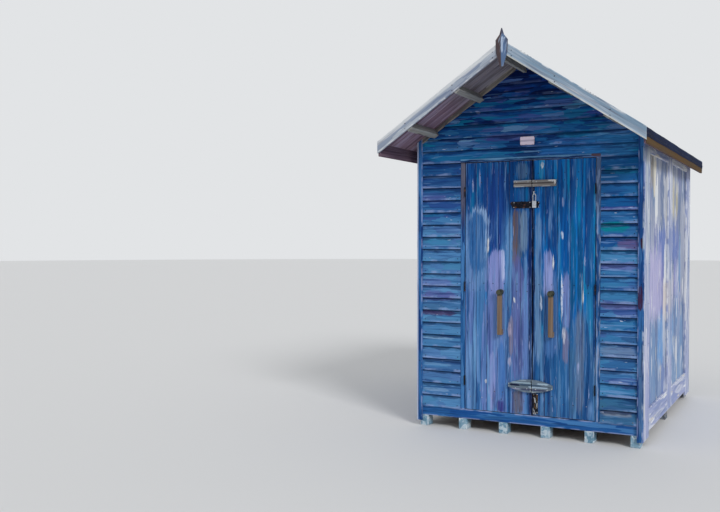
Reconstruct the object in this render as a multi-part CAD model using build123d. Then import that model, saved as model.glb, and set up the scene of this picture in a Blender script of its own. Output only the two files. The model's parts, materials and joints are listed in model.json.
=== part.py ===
from build123d import *
import os
from math import cos, radians, tan

# Beach hut of painted timber with a pair of ledged doors under a deep front gable.
# Millimetres, +Z up. x = 0 is the hut's centre plane, z = 0 is the ground under its feet, and
# y = 0 is halfway between the foremost and the rearmost point of the roof. The front faces -Y.

# Main body
hut_width = 1800
hut_depth = 2400
eaves_rise = 176
roof_pitch = 34
front_overhang = 550
rear_overhang = 100
eave_overhang = 100

# Wall build-up, from outside to inside
cover_thickness = 18
cladding_thickness = 18
frame_thickness = 45
stud_width = 45

# Feet and floor
feet_per_row = 6
foot_rows = 3
foot_width = 70
foot_length = 100
foot_height = 90
joist_width = 45
joist_depth = 55
floor_thickness = 20

# Side wall cover boards and corner boards
stile_width = 220
bottom_rail_width = 170
top_rail_width = 150
corner_board_width = 45
corner_board_thickness = 20
corner_ground_gap = 45

# Doorway, seen from the front
doorway_width = 1040
doorway_offset = 30
doorway_height = 1978
meeting_offset = 35
post_face_width = 35
post_back_width = 55
stop_width = 12
stop_set_back = 25
head_depth = 70
rain_board_height = 38
rain_board_projection = 14

# Doors
door_gap = 5
meeting_gap = 8
door_thickness = 20
ledge_width = 110
ledge_thickness = 25
ledge_end_set_back = 35
ledge_height_set_back = 130
brace_width = 90
brace_gap = 2

# Butt hinges
hinges_per_door = 3
hinge_length = 76
hinge_end_distance = 230
knuckle_radius = 6
hinge_pin_radius = 2.5
hinge_pin_clearance = 0.1
flap_thickness = 2
knuckle_play = 0.4
knuckle_stand_off = 1

# Roof
roof_board_thickness = 19
purlins_per_slope = 2
purlin_spacing = 382
purlin_width = 45
purlin_depth = 60
ridge_board_thickness = 25
ridge_board_depth = 110
notch_clearance = 0.5
rafter_depth = 45
fillet_depth = 32
fillet_thickness = 20
bargeboard_width = 76
bargeboard_thickness = 22
mitre_gap = 0.5
eave_board_depth = 104
eave_board_thickness = 18
felt_thickness = 4
felt_turn_down = 62
ridge_felt_reach = 150
ridge_felt_thickness = 3

# Finial: a spear cut from one board, heights measured from the peak of the bargeboards
finial_thickness = 26
finial_edge_thickness = 6
finial_tip_rise = 92
finial_neck_rise = 45
finial_shoulder_rise = 8
finial_waist_drop = 80
finial_tail_drop = 182
finial_tip_width = 6
finial_neck_width = 34
finial_shoulder_width = 92
finial_waist_width = 84
finial_tail_width = 24

# Timber bars across the meeting line, one half on each door
bar_thickness = 24
bar_groove_width = 8
bar_groove_depth = 6
top_bar_drop = 178
top_bar_width = 50
top_bar_left_reach = 145
top_bar_right_reach = 186
low_bar_rise = 225
low_bar_width = 100
low_bar_tip_width = 28
low_bar_left_reach = 184
low_bar_right_reach = 164

# Pull handles
handle_rise = 778
handle_length = 330
handle_width = 38
handle_thickness = 18
handle_finger_gap = 26
handle_left_distance = 252
handle_right_distance = 153
handle_foot_length = 40
knob_radius = 22
knob_projection = 12

# Pad bolt, its keep, the staple and the padlock
bolt_drop = 164
bolt_plate_width = 52
bolt_plate_length = 170
bolt_plate_thickness = 4
bolt_plate_taper = 22
bolt_radius = 7
bolt_stand_off = 1
bolt_play = 0.5
bolt_length = 150
bolt_edge_distance = 4
bolt_guide_length = 18
bolt_guide_wall = 4
keep_plate_length = 51
bolt_knob_radius = 5
staple_rise = 88
staple_bar = 6
staple_leg_spacing = 24
staple_slack = 5
padlock_clearance = 1
padlock_seat_gap = 0.8
padlock_edge_distance = 18
padlock_width = 32
padlock_height = 52
padlock_thickness = 14
shackle_wire = 6
shackle_rise = 58

# Drop bolt at the foot of the right door
drop_bolt_edge_distance = 24
drop_bolt_radius = 7
drop_bolt_foot_gap = 10
drop_plate_width = 40
drop_plate_thickness = 3
drop_guide_length = 16
drop_guide_wall = 4

# Planes that the pieces share, worked out from the sizes above
half_width = hut_width / 2
skin_face = half_width - cover_thickness
frame_face = skin_face - cladding_thickness
room_face = frame_face - frame_thickness
joist_foot = foot_height
floor_foot = foot_height + joist_depth
floor_top = floor_foot + floor_thickness
doorway_head = floor_top + doorway_height
wall_height = doorway_head + eaves_rise
doorway_left = doorway_offset - doorway_width / 2
doorway_right = doorway_offset + doorway_width / 2
meeting_line = doorway_offset + meeting_offset
eave_face = half_width + eave_overhang
front_y = (front_overhang + finial_thickness - hut_depth - rear_overhang) / 2
frame_front = cladding_thickness
frame_back = cladding_thickness + frame_thickness
rear_frame_back = hut_depth - cladding_thickness
rear_frame_front = rear_frame_back - frame_thickness
roof_front = bargeboard_thickness - front_overhang
roof_back = hut_depth + rear_overhang - bargeboard_thickness
slope = tan(radians(roof_pitch))
lean = cos(radians(roof_pitch))


def soffit(x):
    """Height of the roof boards' underside at a distance x from the centre plane."""
    return wall_height + (half_width - abs(x)) * slope


def roof_top(x):
    """Height of the roof boards' top at a distance x from the centre plane."""
    return soffit(x) + roof_board_thickness / lean


def block(x_span, y_span, z_span):
    """A square-edged piece between three pairs of limits, y counted back from the front face."""
    size = [high - low for low, high in (x_span, y_span, z_span)]
    middle = [(low + high) / 2 for low, high in (x_span, y_span, z_span)]
    return Pos(middle[0], middle[1] + front_y, middle[2]) * Box(*size)


def face_outline(points, y_span):
    """A piece whose outline in x and z is given, running from front to back."""
    plane = Plane(origin=(0, y_span[1] + front_y, 0), x_dir=(1, 0, 0), z_dir=(0, -1, 0))
    outline = plane * make_face(Polyline(*points, close=True).edges())
    return extrude(outline, amount=y_span[1] - y_span[0], dir=(0, -1, 0))


def side_outline(points, x_span):
    """A piece whose outline in y and z is given, running across the hut."""
    plane = Plane(origin=(x_span[0], front_y, 0), x_dir=(0, 1, 0), z_dir=(1, 0, 0))
    outline = plane * make_face(Polyline(*points, close=True).edges())
    return extrude(outline, amount=x_span[1] - x_span[0], dir=(1, 0, 0))


def plan_outline(points, z_span):
    """A piece whose outline in x and y is given, standing upright."""
    plane = Plane(origin=(0, front_y, z_span[0]))
    outline = plane * make_face(Polyline(*points, close=True).edges())
    return extrude(outline, amount=z_span[1] - z_span[0], dir=(0, 0, 1))


def upright_rod(x, y, radius, z_span):
    """A round bar standing upright."""
    return Pos(x, y + front_y, (z_span[0] + z_span[1]) / 2) * Cylinder(radius, z_span[1] - z_span[0])


def cross_rod(y, z, radius, x_span):
    """A round bar lying across the hut."""
    rod = Rot(0, 90, 0) * Cylinder(radius, x_span[1] - x_span[0])
    return Pos((x_span[0] + x_span[1]) / 2, y + front_y, z) * rod


def outward_rod(x, z, radius, y_span):
    """A round bar standing square to the front face."""
    rod = Rot(90, 0, 0) * Cylinder(radius, y_span[1] - y_span[0])
    return Pos(x, (y_span[0] + y_span[1]) / 2 + front_y, z) * rod


def other_side(piece):
    """The same piece on the left of the centre plane."""
    return piece.mirror(Plane.YZ)


def both_sides(pieces):
    """Pieces of the right side with their mirrored fellows."""
    return pieces + [other_side(piece) for piece in pieces]


def spread(low, high, count):
    """Evenly spaced places from low to high."""
    return [low + (high - low) * step / (count - 1) for step in range(count)]


# Feet, joists and floor

def feet():
    outer = frame_face - joist_width / 2
    rows = spread(foot_length / 2, hut_depth - foot_length / 2, foot_rows)
    posts = []
    for row in rows:
        for x in spread(-outer, outer, feet_per_row):
            x_span = (x - foot_width / 2, x + foot_width / 2)
            y_span = (row - foot_length / 2, row + foot_length / 2)
            posts.append(block(x_span, y_span, (0, foot_height)))
    return posts


def floor_joists():
    outer = frame_face - joist_width / 2
    joists = []
    for x in spread(-outer, outer, feet_per_row):
        x_span = (x - joist_width / 2, x + joist_width / 2)
        joists.append(block(x_span, (frame_front, rear_frame_back), (joist_foot, floor_foot)))
    return joists


def floor():
    return [block((-frame_face, frame_face), (frame_front, rear_frame_back), (floor_foot, floor_top))]


def sill_boards():
    x_span = (-skin_face, skin_face)
    z_span = (foot_height, floor_top)
    front = block(x_span, (0, cladding_thickness), z_span)
    rear = block(x_span, (rear_frame_back, hut_depth), z_span)
    return [front, rear]


# Wall frame

def plate_foot():
    return soffit(frame_face) - stud_width


def wall_studs():
    last = rear_frame_back - stud_width / 2
    side = []
    for y in spread(frame_front + stud_width / 2, last, 4):
        y_span = (y - stud_width / 2, y + stud_width / 2)
        side.append(block((room_face, frame_face), y_span, (floor_top, plate_foot())))
    third = room_face / 3
    rear_span = (rear_frame_front, rear_frame_back)
    rear = [block((third - stud_width / 2, third + stud_width / 2), rear_span, (floor_top, doorway_head))]
    return both_sides(side + rear)


def wall_plates():
    points = [
        (room_face, plate_foot()),
        (frame_face, plate_foot()),
        (frame_face, soffit(frame_face)),
        (room_face, soffit(room_face)),
    ]
    return both_sides([face_outline(points, (frame_front, rear_frame_back))])


def door_posts():
    right = [
        (doorway_right, 0),
        (doorway_right + post_face_width, 0),
        (doorway_right + post_face_width, frame_front),
        (doorway_right + post_back_width, frame_front),
        (doorway_right + post_back_width, frame_back),
        (doorway_right - stop_width, frame_back),
        (doorway_right - stop_width, stop_set_back),
        (doorway_right, stop_set_back),
    ]
    left = [(2 * doorway_offset - x, y) for x, y in right]
    z_span = (floor_top, doorway_head)
    return [plan_outline(left, z_span), plan_outline(right, z_span)]


def head_rails():
    x_span = (-room_face, room_face)
    z_span = (doorway_head, doorway_head + head_depth)
    rail = block(x_span, (frame_front, frame_back), z_span)
    stop_span = (doorway_left + stop_width, doorway_right - stop_width)
    stop = block(stop_span, (stop_set_back, frame_back), (doorway_head - stop_width, doorway_head))
    return [rail + stop, block(x_span, (rear_frame_front, rear_frame_back), z_span)]


def slope_strip(inner, outer, top_drop, depth, y_span):
    """A piece that follows the right slope, its top a plumb distance below the roof boards."""
    points = [
        (inner, soffit(inner) - top_drop),
        (outer, soffit(outer) - top_drop),
        (outer, soffit(outer) - top_drop - depth / lean),
        (inner, soffit(inner) - top_drop - depth / lean),
    ]
    return face_outline(points, y_span)


def gable_rafters():
    rafters = []
    for y_span in ((frame_front, frame_back), (rear_frame_front, rear_frame_back)):
        inner = ridge_board_thickness / 2
        rafters.append(slope_strip(inner, room_face, purlin_depth / lean, rafter_depth, y_span))
    return both_sides(rafters)


# Roof timbers

def purlin(x, grow, y_span):
    """A purlin set square under the right slope, or the notch that takes it."""
    along = (lean, -lean * slope)
    inward = (-lean * slope, -lean)
    top = (x, soffit(x))
    half = purlin_width / 2 + grow
    depth = purlin_depth + grow
    points = [
        (top[0] - along[0] * half, top[1] - along[1] * half),
        (top[0] + along[0] * half, top[1] + along[1] * half),
        (top[0] + along[0] * half + inward[0] * depth, top[1] + along[1] * half + inward[1] * depth),
        (top[0] - along[0] * half + inward[0] * depth, top[1] - along[1] * half + inward[1] * depth),
    ]
    return face_outline(points, y_span)


def purlin_places():
    return [purlin_spacing * (step + 1) for step in range(purlins_per_slope)]


def purlins():
    return both_sides([purlin(x, 0, (roof_front, roof_back)) for x in purlin_places()])


def ridge_timber(grow, y_span):
    half = ridge_board_thickness / 2 + grow
    foot = soffit(0) - ridge_board_depth - grow
    points = [(-half, foot), (half, foot), (half, soffit(half)), (0, soffit(0)), (-half, soffit(half))]
    return face_outline(points, y_span)


def ridge_board():
    return [ridge_timber(0, (roof_front, roof_back))]


def without_roof_timbers(piece, y_span):
    """The piece with notches for the ridge board and the purlins of both slopes."""
    notches = both_sides([purlin(x, notch_clearance, y_span) for x in purlin_places()])
    for notch in notches + [ridge_timber(notch_clearance, y_span)]:
        piece = piece - notch
    return piece


def roof_boards():
    outer = eave_face - eave_board_thickness
    points = [(0, soffit(0)), (outer, soffit(outer)), (outer, roof_top(outer)), (0, roof_top(0))]
    return face_outline(points, (roof_front, roof_back))


def eave_boards():
    inner = eave_face - eave_board_thickness
    foot = roof_top(eave_face) - eave_board_depth
    points = [(inner, foot), (eave_face, foot), (eave_face, roof_top(eave_face)), (inner, roof_top(inner))]
    return both_sides([face_outline(points, (roof_front, roof_back))])


def bargeboards(y_span):
    inner = mitre_gap / 2
    drop = bargeboard_width / lean
    points = [
        (inner, roof_top(inner)),
        (eave_face, roof_top(eave_face)),
        (eave_face, roof_top(eave_face) - drop),
        (inner, roof_top(inner) - drop),
    ]
    return both_sides([face_outline(points, y_span)])


def roof_felt():
    over = felt_thickness / lean
    edge = eave_face + felt_thickness
    foot = roof_top(eave_face) - felt_turn_down
    right = [
        (0, roof_top(0)),
        (eave_face, roof_top(eave_face)),
        (eave_face, foot),
        (edge, foot),
        (edge, roof_top(edge) + over),
        (0, roof_top(0) + over),
    ]
    left = [(-x, z) for x, z in reversed(right[1:-1])]
    return [face_outline(right + left, (-front_overhang, hut_depth + rear_overhang))]


def ridge_felt():
    under = felt_thickness / lean
    over = under + ridge_felt_thickness / lean
    reach = ridge_felt_reach
    points = [
        (-reach, roof_top(reach) + under),
        (0, roof_top(0) + under),
        (reach, roof_top(reach) + under),
        (reach, roof_top(reach) + over),
        (0, roof_top(0) + over),
        (-reach, roof_top(reach) + over),
    ]
    return [face_outline(points, (-front_overhang, hut_depth + rear_overhang))]


def facet(points):
    """One flat face through points given in order."""
    return make_face(Polyline(*points, close=True).edges())


def finial():
    """A faceted spear with a flat back, on the face of the mitred bargeboards."""
    peak = roof_top(0)
    stations = [
        (peak - finial_tail_drop, finial_tail_width),
        (peak - finial_waist_drop, finial_waist_width),
        (peak + finial_shoulder_rise, finial_shoulder_width),
        (peak + finial_neck_rise, finial_neck_width),
        (peak + finial_tip_rise, finial_tip_width),
    ]
    back = front_y - front_overhang
    edge = back - finial_edge_thickness
    rings = []
    for height, width in stations:
        crown = edge - (finial_thickness - finial_edge_thickness) * width / finial_shoulder_width
        half = width / 2
        rings.append([(-half, back, height), (-half, edge, height), (0, crown, height),
                      (half, edge, height), (half, back, height)])
    facets = [facet(rings[0]), facet(rings[-1])]
    for low, high in zip(rings[:-1], rings[1:]):
        for here, there in zip(range(5), (1, 2, 3, 4, 0)):
            facets.append(facet([low[here], low[there], high[there], high[here]]))
    return [Solid(Shell(facets))]


# Walls

def front_wall_right():
    x_span = (doorway_right + post_face_width, skin_face)
    return [block(x_span, (0, cladding_thickness), (floor_top, doorway_head))]


def front_wall_left():
    x_span = (-skin_face, doorway_left - post_face_width)
    return [block(x_span, (0, cladding_thickness), (floor_top, doorway_head))]


def gable_points(foot):
    return [
        (-skin_face, foot),
        (skin_face, foot),
        (skin_face, soffit(skin_face)),
        (0, soffit(0)),
        (-skin_face, soffit(skin_face)),
    ]


def front_gable():
    y_span = (0, cladding_thickness)
    return [without_roof_timbers(face_outline(gable_points(doorway_head), y_span), y_span)]


def rear_wall():
    y_span = (rear_frame_back, hut_depth)
    return [without_roof_timbers(face_outline(gable_points(floor_top), y_span), y_span)]


def side_wall():
    points = [
        (frame_face, foot_height),
        (skin_face, foot_height),
        (skin_face, soffit(skin_face)),
        (frame_face, soffit(frame_face)),
    ]
    return face_outline(points, (frame_front, rear_frame_back))


def cover_board(inner, outer, y_span, foot, top_drop=None):
    """A board on a wall's face, cut to the roof's slope or square below it."""
    if top_drop is None:
        points = [(inner, foot), (outer, foot), (outer, soffit(outer)), (inner, soffit(inner))]
        return face_outline(points, y_span)
    return block((inner, outer), y_span, (foot, top_drop))


def stile_spans():
    middle = hut_depth / 2
    return [
        (0, stile_width),
        (middle - stile_width / 2, middle + stile_width / 2),
        (hut_depth - stile_width, hut_depth),
    ]


def side_stiles():
    front, middle, rear = stile_spans()
    ends = [cover_board(skin_face, half_width, span, corner_ground_gap) for span in (front, rear)]
    centre = cover_board(skin_face, half_width, middle, foot_height)
    return both_sides(ends + [centre])


def side_rails():
    front, middle, rear = stile_spans()
    rails = []
    for y_span in ((front[1], middle[0]), (middle[1], rear[0])):
        top_foot = soffit(half_width) - top_rail_width
        rails.append(cover_board(skin_face, half_width, y_span, foot_height, foot_height + bottom_rail_width))
        rails.append(cover_board(skin_face, half_width, y_span, top_foot))
    return both_sides(rails)


def corner_boards():
    inner = half_width - corner_board_width
    front = cover_board(inner, half_width, (-corner_board_thickness, 0), corner_ground_gap)
    back_span = (hut_depth, hut_depth + corner_board_thickness)
    rear = cover_board(inner, half_width, back_span, corner_ground_gap)
    return both_sides([front, rear])


def gable_fillets():
    y_span = (-fillet_thickness, 0)
    outer = half_width - corner_board_width
    strip = slope_strip(0, outer, 0, fillet_depth, y_span)
    pieces = without_roof_timbers(strip, y_span).solids()
    return both_sides(list(pieces))


def rain_board():
    """A bevelled board that throws rain clear of the doors' top edges."""
    points = [
        (0, doorway_head),
        (-rain_board_projection, doorway_head),
        (-rain_board_projection, doorway_head + rain_board_height / 2),
        (0, doorway_head + rain_board_height),
    ]
    x_span = (doorway_left - post_face_width, doorway_right + post_face_width)
    return [side_outline(points, x_span)]


# Doors

door_foot = floor_top + door_gap
door_top = doorway_head - door_gap
left_edges = (doorway_left + door_gap, meeting_line - meeting_gap / 2)
right_edges = (meeting_line + meeting_gap / 2, doorway_right - door_gap)
hinge_y = -knuckle_radius - knuckle_stand_off
top_bar_height = door_top - top_bar_drop
low_bar_height = door_foot + low_bar_rise
handle_height = door_foot + handle_rise
bolt_height = top_bar_height - bolt_drop
staple_height = bolt_height + staple_rise
bolt_y = -bolt_plate_thickness - bolt_stand_off - bolt_radius
strap_rise = bolt_plate_thickness + bolt_stand_off + 2 * bolt_radius + bolt_guide_wall
padlock_y = -strap_rise - padlock_clearance - padlock_thickness / 2


def door(edges):
    return [block(edges, (0, door_thickness), (door_foot, door_top))]


def ledge_heights():
    low = door_foot + ledge_height_set_back
    high = door_top - ledge_height_set_back
    return spread(low, high, 3)


def door_ledges(edges, hinge_side):
    """Three ledges and two braces, each brace rising from its foot at the hinge side."""
    left = edges[0] + ledge_end_set_back
    right = edges[1] - ledge_end_set_back
    y_span = (door_thickness, door_thickness + ledge_thickness)
    heights = ledge_heights()
    half = ledge_width / 2
    pieces = [block((left, right), y_span, (z - half, z + half)) for z in heights]
    foot_x, head_x = (left, right - brace_width) if hinge_side == "left" else (right - brace_width, left)
    for low, high in zip(heights[:-1], heights[1:]):
        foot = low + half + brace_gap
        head = high - half - brace_gap
        points = [(foot_x, foot), (foot_x + brace_width, foot), (head_x + brace_width, head), (head_x, head)]
        pieces.append(face_outline(points, y_span))
    return pieces


def hinge_middles():
    return spread(door_foot + hinge_end_distance, door_top - hinge_end_distance, hinges_per_door)


def knuckle_spans(middle):
    """The three knuckles' heights: frame, door, frame."""
    third = hinge_length / 3
    low = middle - hinge_length / 2
    return [(low + third * step + knuckle_play / 2, low + third * (step + 1) - knuckle_play / 2)
            for step in range(3)]


def hinge_axis(side):
    """Distance of a door's hinge line from the centre plane."""
    return doorway_right - door_gap / 2 if side > 0 else doorway_left + door_gap / 2


def flap(axis, side, reach, knuckles, middle):
    """A flap let in beside the hinge line, with the webs that join it to its own knuckles."""
    near = door_gap / 2 - flap_thickness
    x_span = sorted((axis + side * reach * near, axis + side * reach * (near + flap_thickness)))
    z_span = (middle - hinge_length / 2, middle + hinge_length / 2)
    plate = block(x_span, (0, door_thickness), z_span)
    for span in knuckles:
        plate = plate + block(x_span, (hinge_y, 0), span)
        plate = plate + upright_rod(axis, hinge_y, knuckle_radius, span)
    return plate


def frame_hinges():
    hinges = []
    for side in (-1, 1):
        axis = hinge_axis(side)
        for middle in hinge_middles():
            low, centre, high = knuckle_spans(middle)
            plate = flap(axis, side, 1, (low, high), middle)
            hinges.append(plate + upright_rod(axis, hinge_y, hinge_pin_radius, (low[0], high[1])))
    return hinges


def door_hinges(side):
    axis = hinge_axis(side)
    hinges = []
    for middle in hinge_middles():
        low, centre, high = knuckle_spans(middle)
        plate = flap(axis, side, -1, (centre,), middle)
        bore = upright_rod(axis, hinge_y, hinge_pin_radius + hinge_pin_clearance, centre)
        hinges.append(plate - bore)
    return hinges


# Timber bars

def grooved(bar, x_span, height):
    groove_span = (-bar_thickness, bar_groove_depth - bar_thickness)
    z_span = (height - bar_groove_width / 2, height + bar_groove_width / 2)
    return bar - block(x_span, groove_span, z_span)


def top_bar():
    x_span = (meeting_line - top_bar_left_reach, meeting_line + top_bar_right_reach)
    z_span = (top_bar_height - top_bar_width / 2, top_bar_height + top_bar_width / 2)
    return grooved(block(x_span, (-bar_thickness, 0), z_span), x_span, top_bar_height)


def low_bar():
    """A boat-shaped bar, full in the middle and blunt at its tips."""
    left = meeting_line - low_bar_left_reach
    right = meeting_line + low_bar_right_reach
    middle = (left + right) / 2
    tip = low_bar_tip_width / 2
    full = low_bar_width / 2
    over = ThreePointArc((left, tip), (middle, full), (right, tip))
    under = ThreePointArc((right, -tip), (middle, -full), (left, -tip))
    ends = [Line((right, tip), (right, -tip)), Line((left, -tip), (left, tip))]
    plane = Plane(origin=(0, front_y, low_bar_height), x_dir=(1, 0, 0), z_dir=(0, -1, 0))
    outline = plane * make_face([over, ends[0], under, ends[1]])
    bar = extrude(outline, amount=bar_thickness, dir=(0, -1, 0))
    return grooved(bar, (left, right), low_bar_height)


def door_bars(edges):
    """The halves of both bars that ride on one door."""
    reach = block((edges[0], edges[1]), (-2 * bar_thickness, 0), (door_foot, door_top))
    return [reach & top_bar(), reach & low_bar()]


def pull_handle(x):
    """A worn timber grip held off the door by a round boss above and a block below."""
    half = handle_width / 2
    front = -handle_finger_gap - handle_thickness
    z_span = (handle_height - handle_length / 2, handle_height + handle_length / 2)
    grip = block((x - half, x + half), (front, -handle_finger_gap), z_span)
    foot = block((x - half, x + half), (-handle_finger_gap, 0), (z_span[0], z_span[0] + handle_foot_length))
    knob_z = z_span[1] + knob_radius - half
    boss = outward_rod(x, knob_z, knob_radius, (front - knob_projection, 0))
    long_edges = grip.edges().filter_by(Axis.Z).sort_by(Axis.Y)[:2]
    grip = fillet(long_edges, handle_thickness / 3)
    return [grip + foot + boss]


# Ironwork of the lock

def bolt_plate(inner, outer):
    """A plate whose outer end is tapered."""
    half = bolt_plate_width / 2
    lean_in = bolt_plate_taper if outer > inner else -bolt_plate_taper
    points = [
        (inner, bolt_height - half),
        (outer - lean_in, bolt_height - half),
        (outer, bolt_height + half / 2),
        (outer - lean_in / 2, bolt_height + half),
        (inner, bolt_height + half),
    ]
    return face_outline(points, (-bolt_plate_thickness, 0))


def bolt_strap(x):
    """A strap that holds the bolt to its plate."""
    x_span = (x - bolt_guide_length / 2, x + bolt_guide_length / 2)
    half = bolt_radius + bolt_guide_wall
    return block(x_span, (-strap_rise, -bolt_plate_thickness), (bolt_height - half, bolt_height + half))


def pad_bolt():
    end = left_edges[1] - bolt_edge_distance
    start = end - bolt_plate_length
    plate = bolt_plate(end, start)
    rod = cross_rod(bolt_y, bolt_height, bolt_radius, (end - bolt_length, end))
    knob_x = end - bolt_length / 2
    knob_span = (bolt_height, bolt_height + bolt_plate_width / 2)
    knob = upright_rod(knob_x, bolt_y - bolt_radius, bolt_knob_radius, knob_span)
    body = plate + rod + knob
    for x in (end - bolt_guide_length, end - bolt_length + bolt_guide_length):
        body = body + bolt_strap(x)
    return [body]


def bolt_keep():
    start = right_edges[0] + bolt_edge_distance / 2
    end = start + keep_plate_length
    bore = cross_rod(bolt_y, bolt_height, bolt_radius + bolt_play, (start, end))
    strap = bolt_strap(end - bolt_guide_length) - bore
    return [bolt_plate(start, end) + strap]


def lock_staple():
    """A forged loop of square bar that stands out of the right door and carries the padlock."""
    x = right_edges[0] + padlock_edge_distance
    inner = staple_leg_spacing / 2 - staple_bar / 2
    outer = staple_leg_spacing / 2 + staple_bar / 2
    inner_front = padlock_y - shackle_wire / 2 - staple_slack
    front = inner_front - staple_bar
    corner = staple_bar / 2
    points = [
        (0, staple_height - outer),
        (front + corner, staple_height - outer),
        (front, staple_height - outer + corner),
        (front, staple_height + outer - corner),
        (front + corner, staple_height + outer),
        (0, staple_height + outer),
        (0, staple_height + inner),
        (inner_front, staple_height + inner),
        (inner_front, staple_height - inner),
        (0, staple_height - inner),
    ]
    return [side_outline(points, (x - staple_bar / 2, x + staple_bar / 2))]


def padlock():
    """A padlock hung by its shackle on the staple's lower leg."""
    x = right_edges[0] + padlock_edge_distance
    radius = shackle_wire / 2
    y = padlock_y
    bend = padlock_width / 2 - radius - radius / 2
    crown = staple_height - staple_leg_spacing / 2 + staple_bar / 2 + radius + padlock_seat_gap
    spring = crown - bend
    body_top = crown + radius - shackle_rise
    body_span = (body_top - padlock_height, body_top)
    half_width_span = (x - padlock_width / 2, x + padlock_width / 2)
    body = block(half_width_span, (y - padlock_thickness / 2, y + padlock_thickness / 2), body_span)
    body = fillet(body.edges().filter_by(Axis.Z), padlock_thickness / 4)
    arch = ThreePointArc((-bend, 0), (0, bend), (bend, 0))
    plane = Plane(origin=(x, y + front_y, spring), x_dir=(1, 0, 0), z_dir=(0, -1, 0))
    path = plane * arch
    ring = sweep(Plane(origin=(x - bend, y + front_y, spring)) * Circle(radius), path=path)
    legs = [upright_rod(x + side * bend, y, radius, (body_top - radius, spring)) for side in (-1, 1)]
    return [body + legs[0] + legs[1] + ring]


def drop_bolt():
    """An upright bolt on a plate at the right door's foot, drawn clear of the sill."""
    x = right_edges[0] + drop_bolt_edge_distance
    foot = door_foot + drop_bolt_foot_gap
    top = low_bar_height - low_bar_width / 2
    y = -drop_plate_thickness - bolt_stand_off - drop_bolt_radius
    half = drop_plate_width / 2
    plate = block((x - half, x + half), (-drop_plate_thickness, 0), (foot, top - drop_guide_length))
    body = plate + upright_rod(x, y, drop_bolt_radius, (foot, top))
    reach = drop_bolt_radius + drop_guide_wall
    rise = drop_plate_thickness + bolt_stand_off + 2 * drop_bolt_radius + drop_guide_wall
    for low in (foot + drop_guide_length, top - 3 * drop_guide_length):
        z_span = (low, low + drop_guide_length)
        body = body + block((x - reach, x + reach), (-rise, -drop_plate_thickness), z_span)
    return [body]


pieces = {
    "feet": feet(),
    "floor_joists": floor_joists(),
    "floor": floor(),
    "sill_boards": sill_boards(),
    "wall_studs": wall_studs(),
    "wall_plates": wall_plates(),
    "door_posts": door_posts(),
    "head_rails": head_rails(),
    "gable_rafters": gable_rafters(),
    "front_wall_left": front_wall_left(),
    "front_wall_right": front_wall_right(),
    "front_gable": front_gable(),
    "rain_board": rain_board(),
    "rear_wall": rear_wall(),
    "left_wall": [other_side(side_wall())],
    "right_wall": [side_wall()],
    "side_stiles": side_stiles(),
    "side_rails": side_rails(),
    "corner_boards": corner_boards(),
    "gable_fillets": gable_fillets(),
    "ridge_board": ridge_board(),
    "purlins": purlins(),
    "roof_boards_left": [other_side(roof_boards())],
    "roof_boards_right": [roof_boards()],
    "roof_felt": roof_felt(),
    "ridge_felt": ridge_felt(),
    "front_bargeboards": bargeboards((-front_overhang, roof_front)),
    "rear_bargeboards": bargeboards((roof_back, hut_depth + rear_overhang)),
    "finial": finial(),
    "eave_boards": eave_boards(),
    "frame_hinges": frame_hinges(),
    "door_left": door(left_edges),
    "door_left_ledges": door_ledges(left_edges, "left"),
    "door_left_hinges": door_hinges(-1),
    "door_left_bars": door_bars(left_edges),
    "door_left_handle": pull_handle(meeting_line - handle_left_distance),
    "pad_bolt": pad_bolt(),
    "door_right": door(right_edges),
    "door_right_ledges": door_ledges(right_edges, "right"),
    "door_right_hinges": door_hinges(1),
    "door_right_bars": door_bars(right_edges),
    "door_right_handle": pull_handle(meeting_line + handle_right_distance),
    "bolt_keep": bolt_keep(),
    "lock_staple": lock_staple(),
    "padlock": padlock(),
    "drop_bolt": drop_bolt(),
}

os.makedirs("parts", exist_ok=True)
for name, solids in pieces.items():
    shape = solids[0] if len(solids) == 1 else Compound(children=solids)
    export_step(shape, f"parts/{name}.step")
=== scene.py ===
import json
import random
from functools import partialmethod
from math import ceil, cos, radians, sin, tan, tau

import bmesh
import bpy
from mathutils import Matrix, Vector


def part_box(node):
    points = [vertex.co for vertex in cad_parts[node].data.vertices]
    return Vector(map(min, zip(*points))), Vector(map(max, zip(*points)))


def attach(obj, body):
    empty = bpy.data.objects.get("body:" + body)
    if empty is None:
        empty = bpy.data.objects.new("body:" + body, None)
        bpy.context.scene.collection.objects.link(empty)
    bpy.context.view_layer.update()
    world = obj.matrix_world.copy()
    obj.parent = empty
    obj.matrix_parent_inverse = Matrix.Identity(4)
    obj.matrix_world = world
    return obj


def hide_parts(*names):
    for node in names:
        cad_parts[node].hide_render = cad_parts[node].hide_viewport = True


# The finish of a timber beach hut. Metres, +Z up, the front facing -Y.

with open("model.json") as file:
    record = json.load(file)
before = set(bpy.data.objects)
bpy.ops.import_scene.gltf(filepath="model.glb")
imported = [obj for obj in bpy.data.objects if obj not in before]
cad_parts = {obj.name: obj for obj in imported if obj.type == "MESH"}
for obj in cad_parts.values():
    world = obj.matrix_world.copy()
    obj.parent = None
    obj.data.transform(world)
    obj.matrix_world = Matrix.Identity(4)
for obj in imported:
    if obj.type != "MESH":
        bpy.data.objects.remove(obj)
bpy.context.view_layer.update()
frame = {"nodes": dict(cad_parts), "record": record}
bodies = frame["record"]["behaviour"]["bodies"]
body_of = {node: body for body, nodes in bodies.items() for node in nodes}

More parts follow.
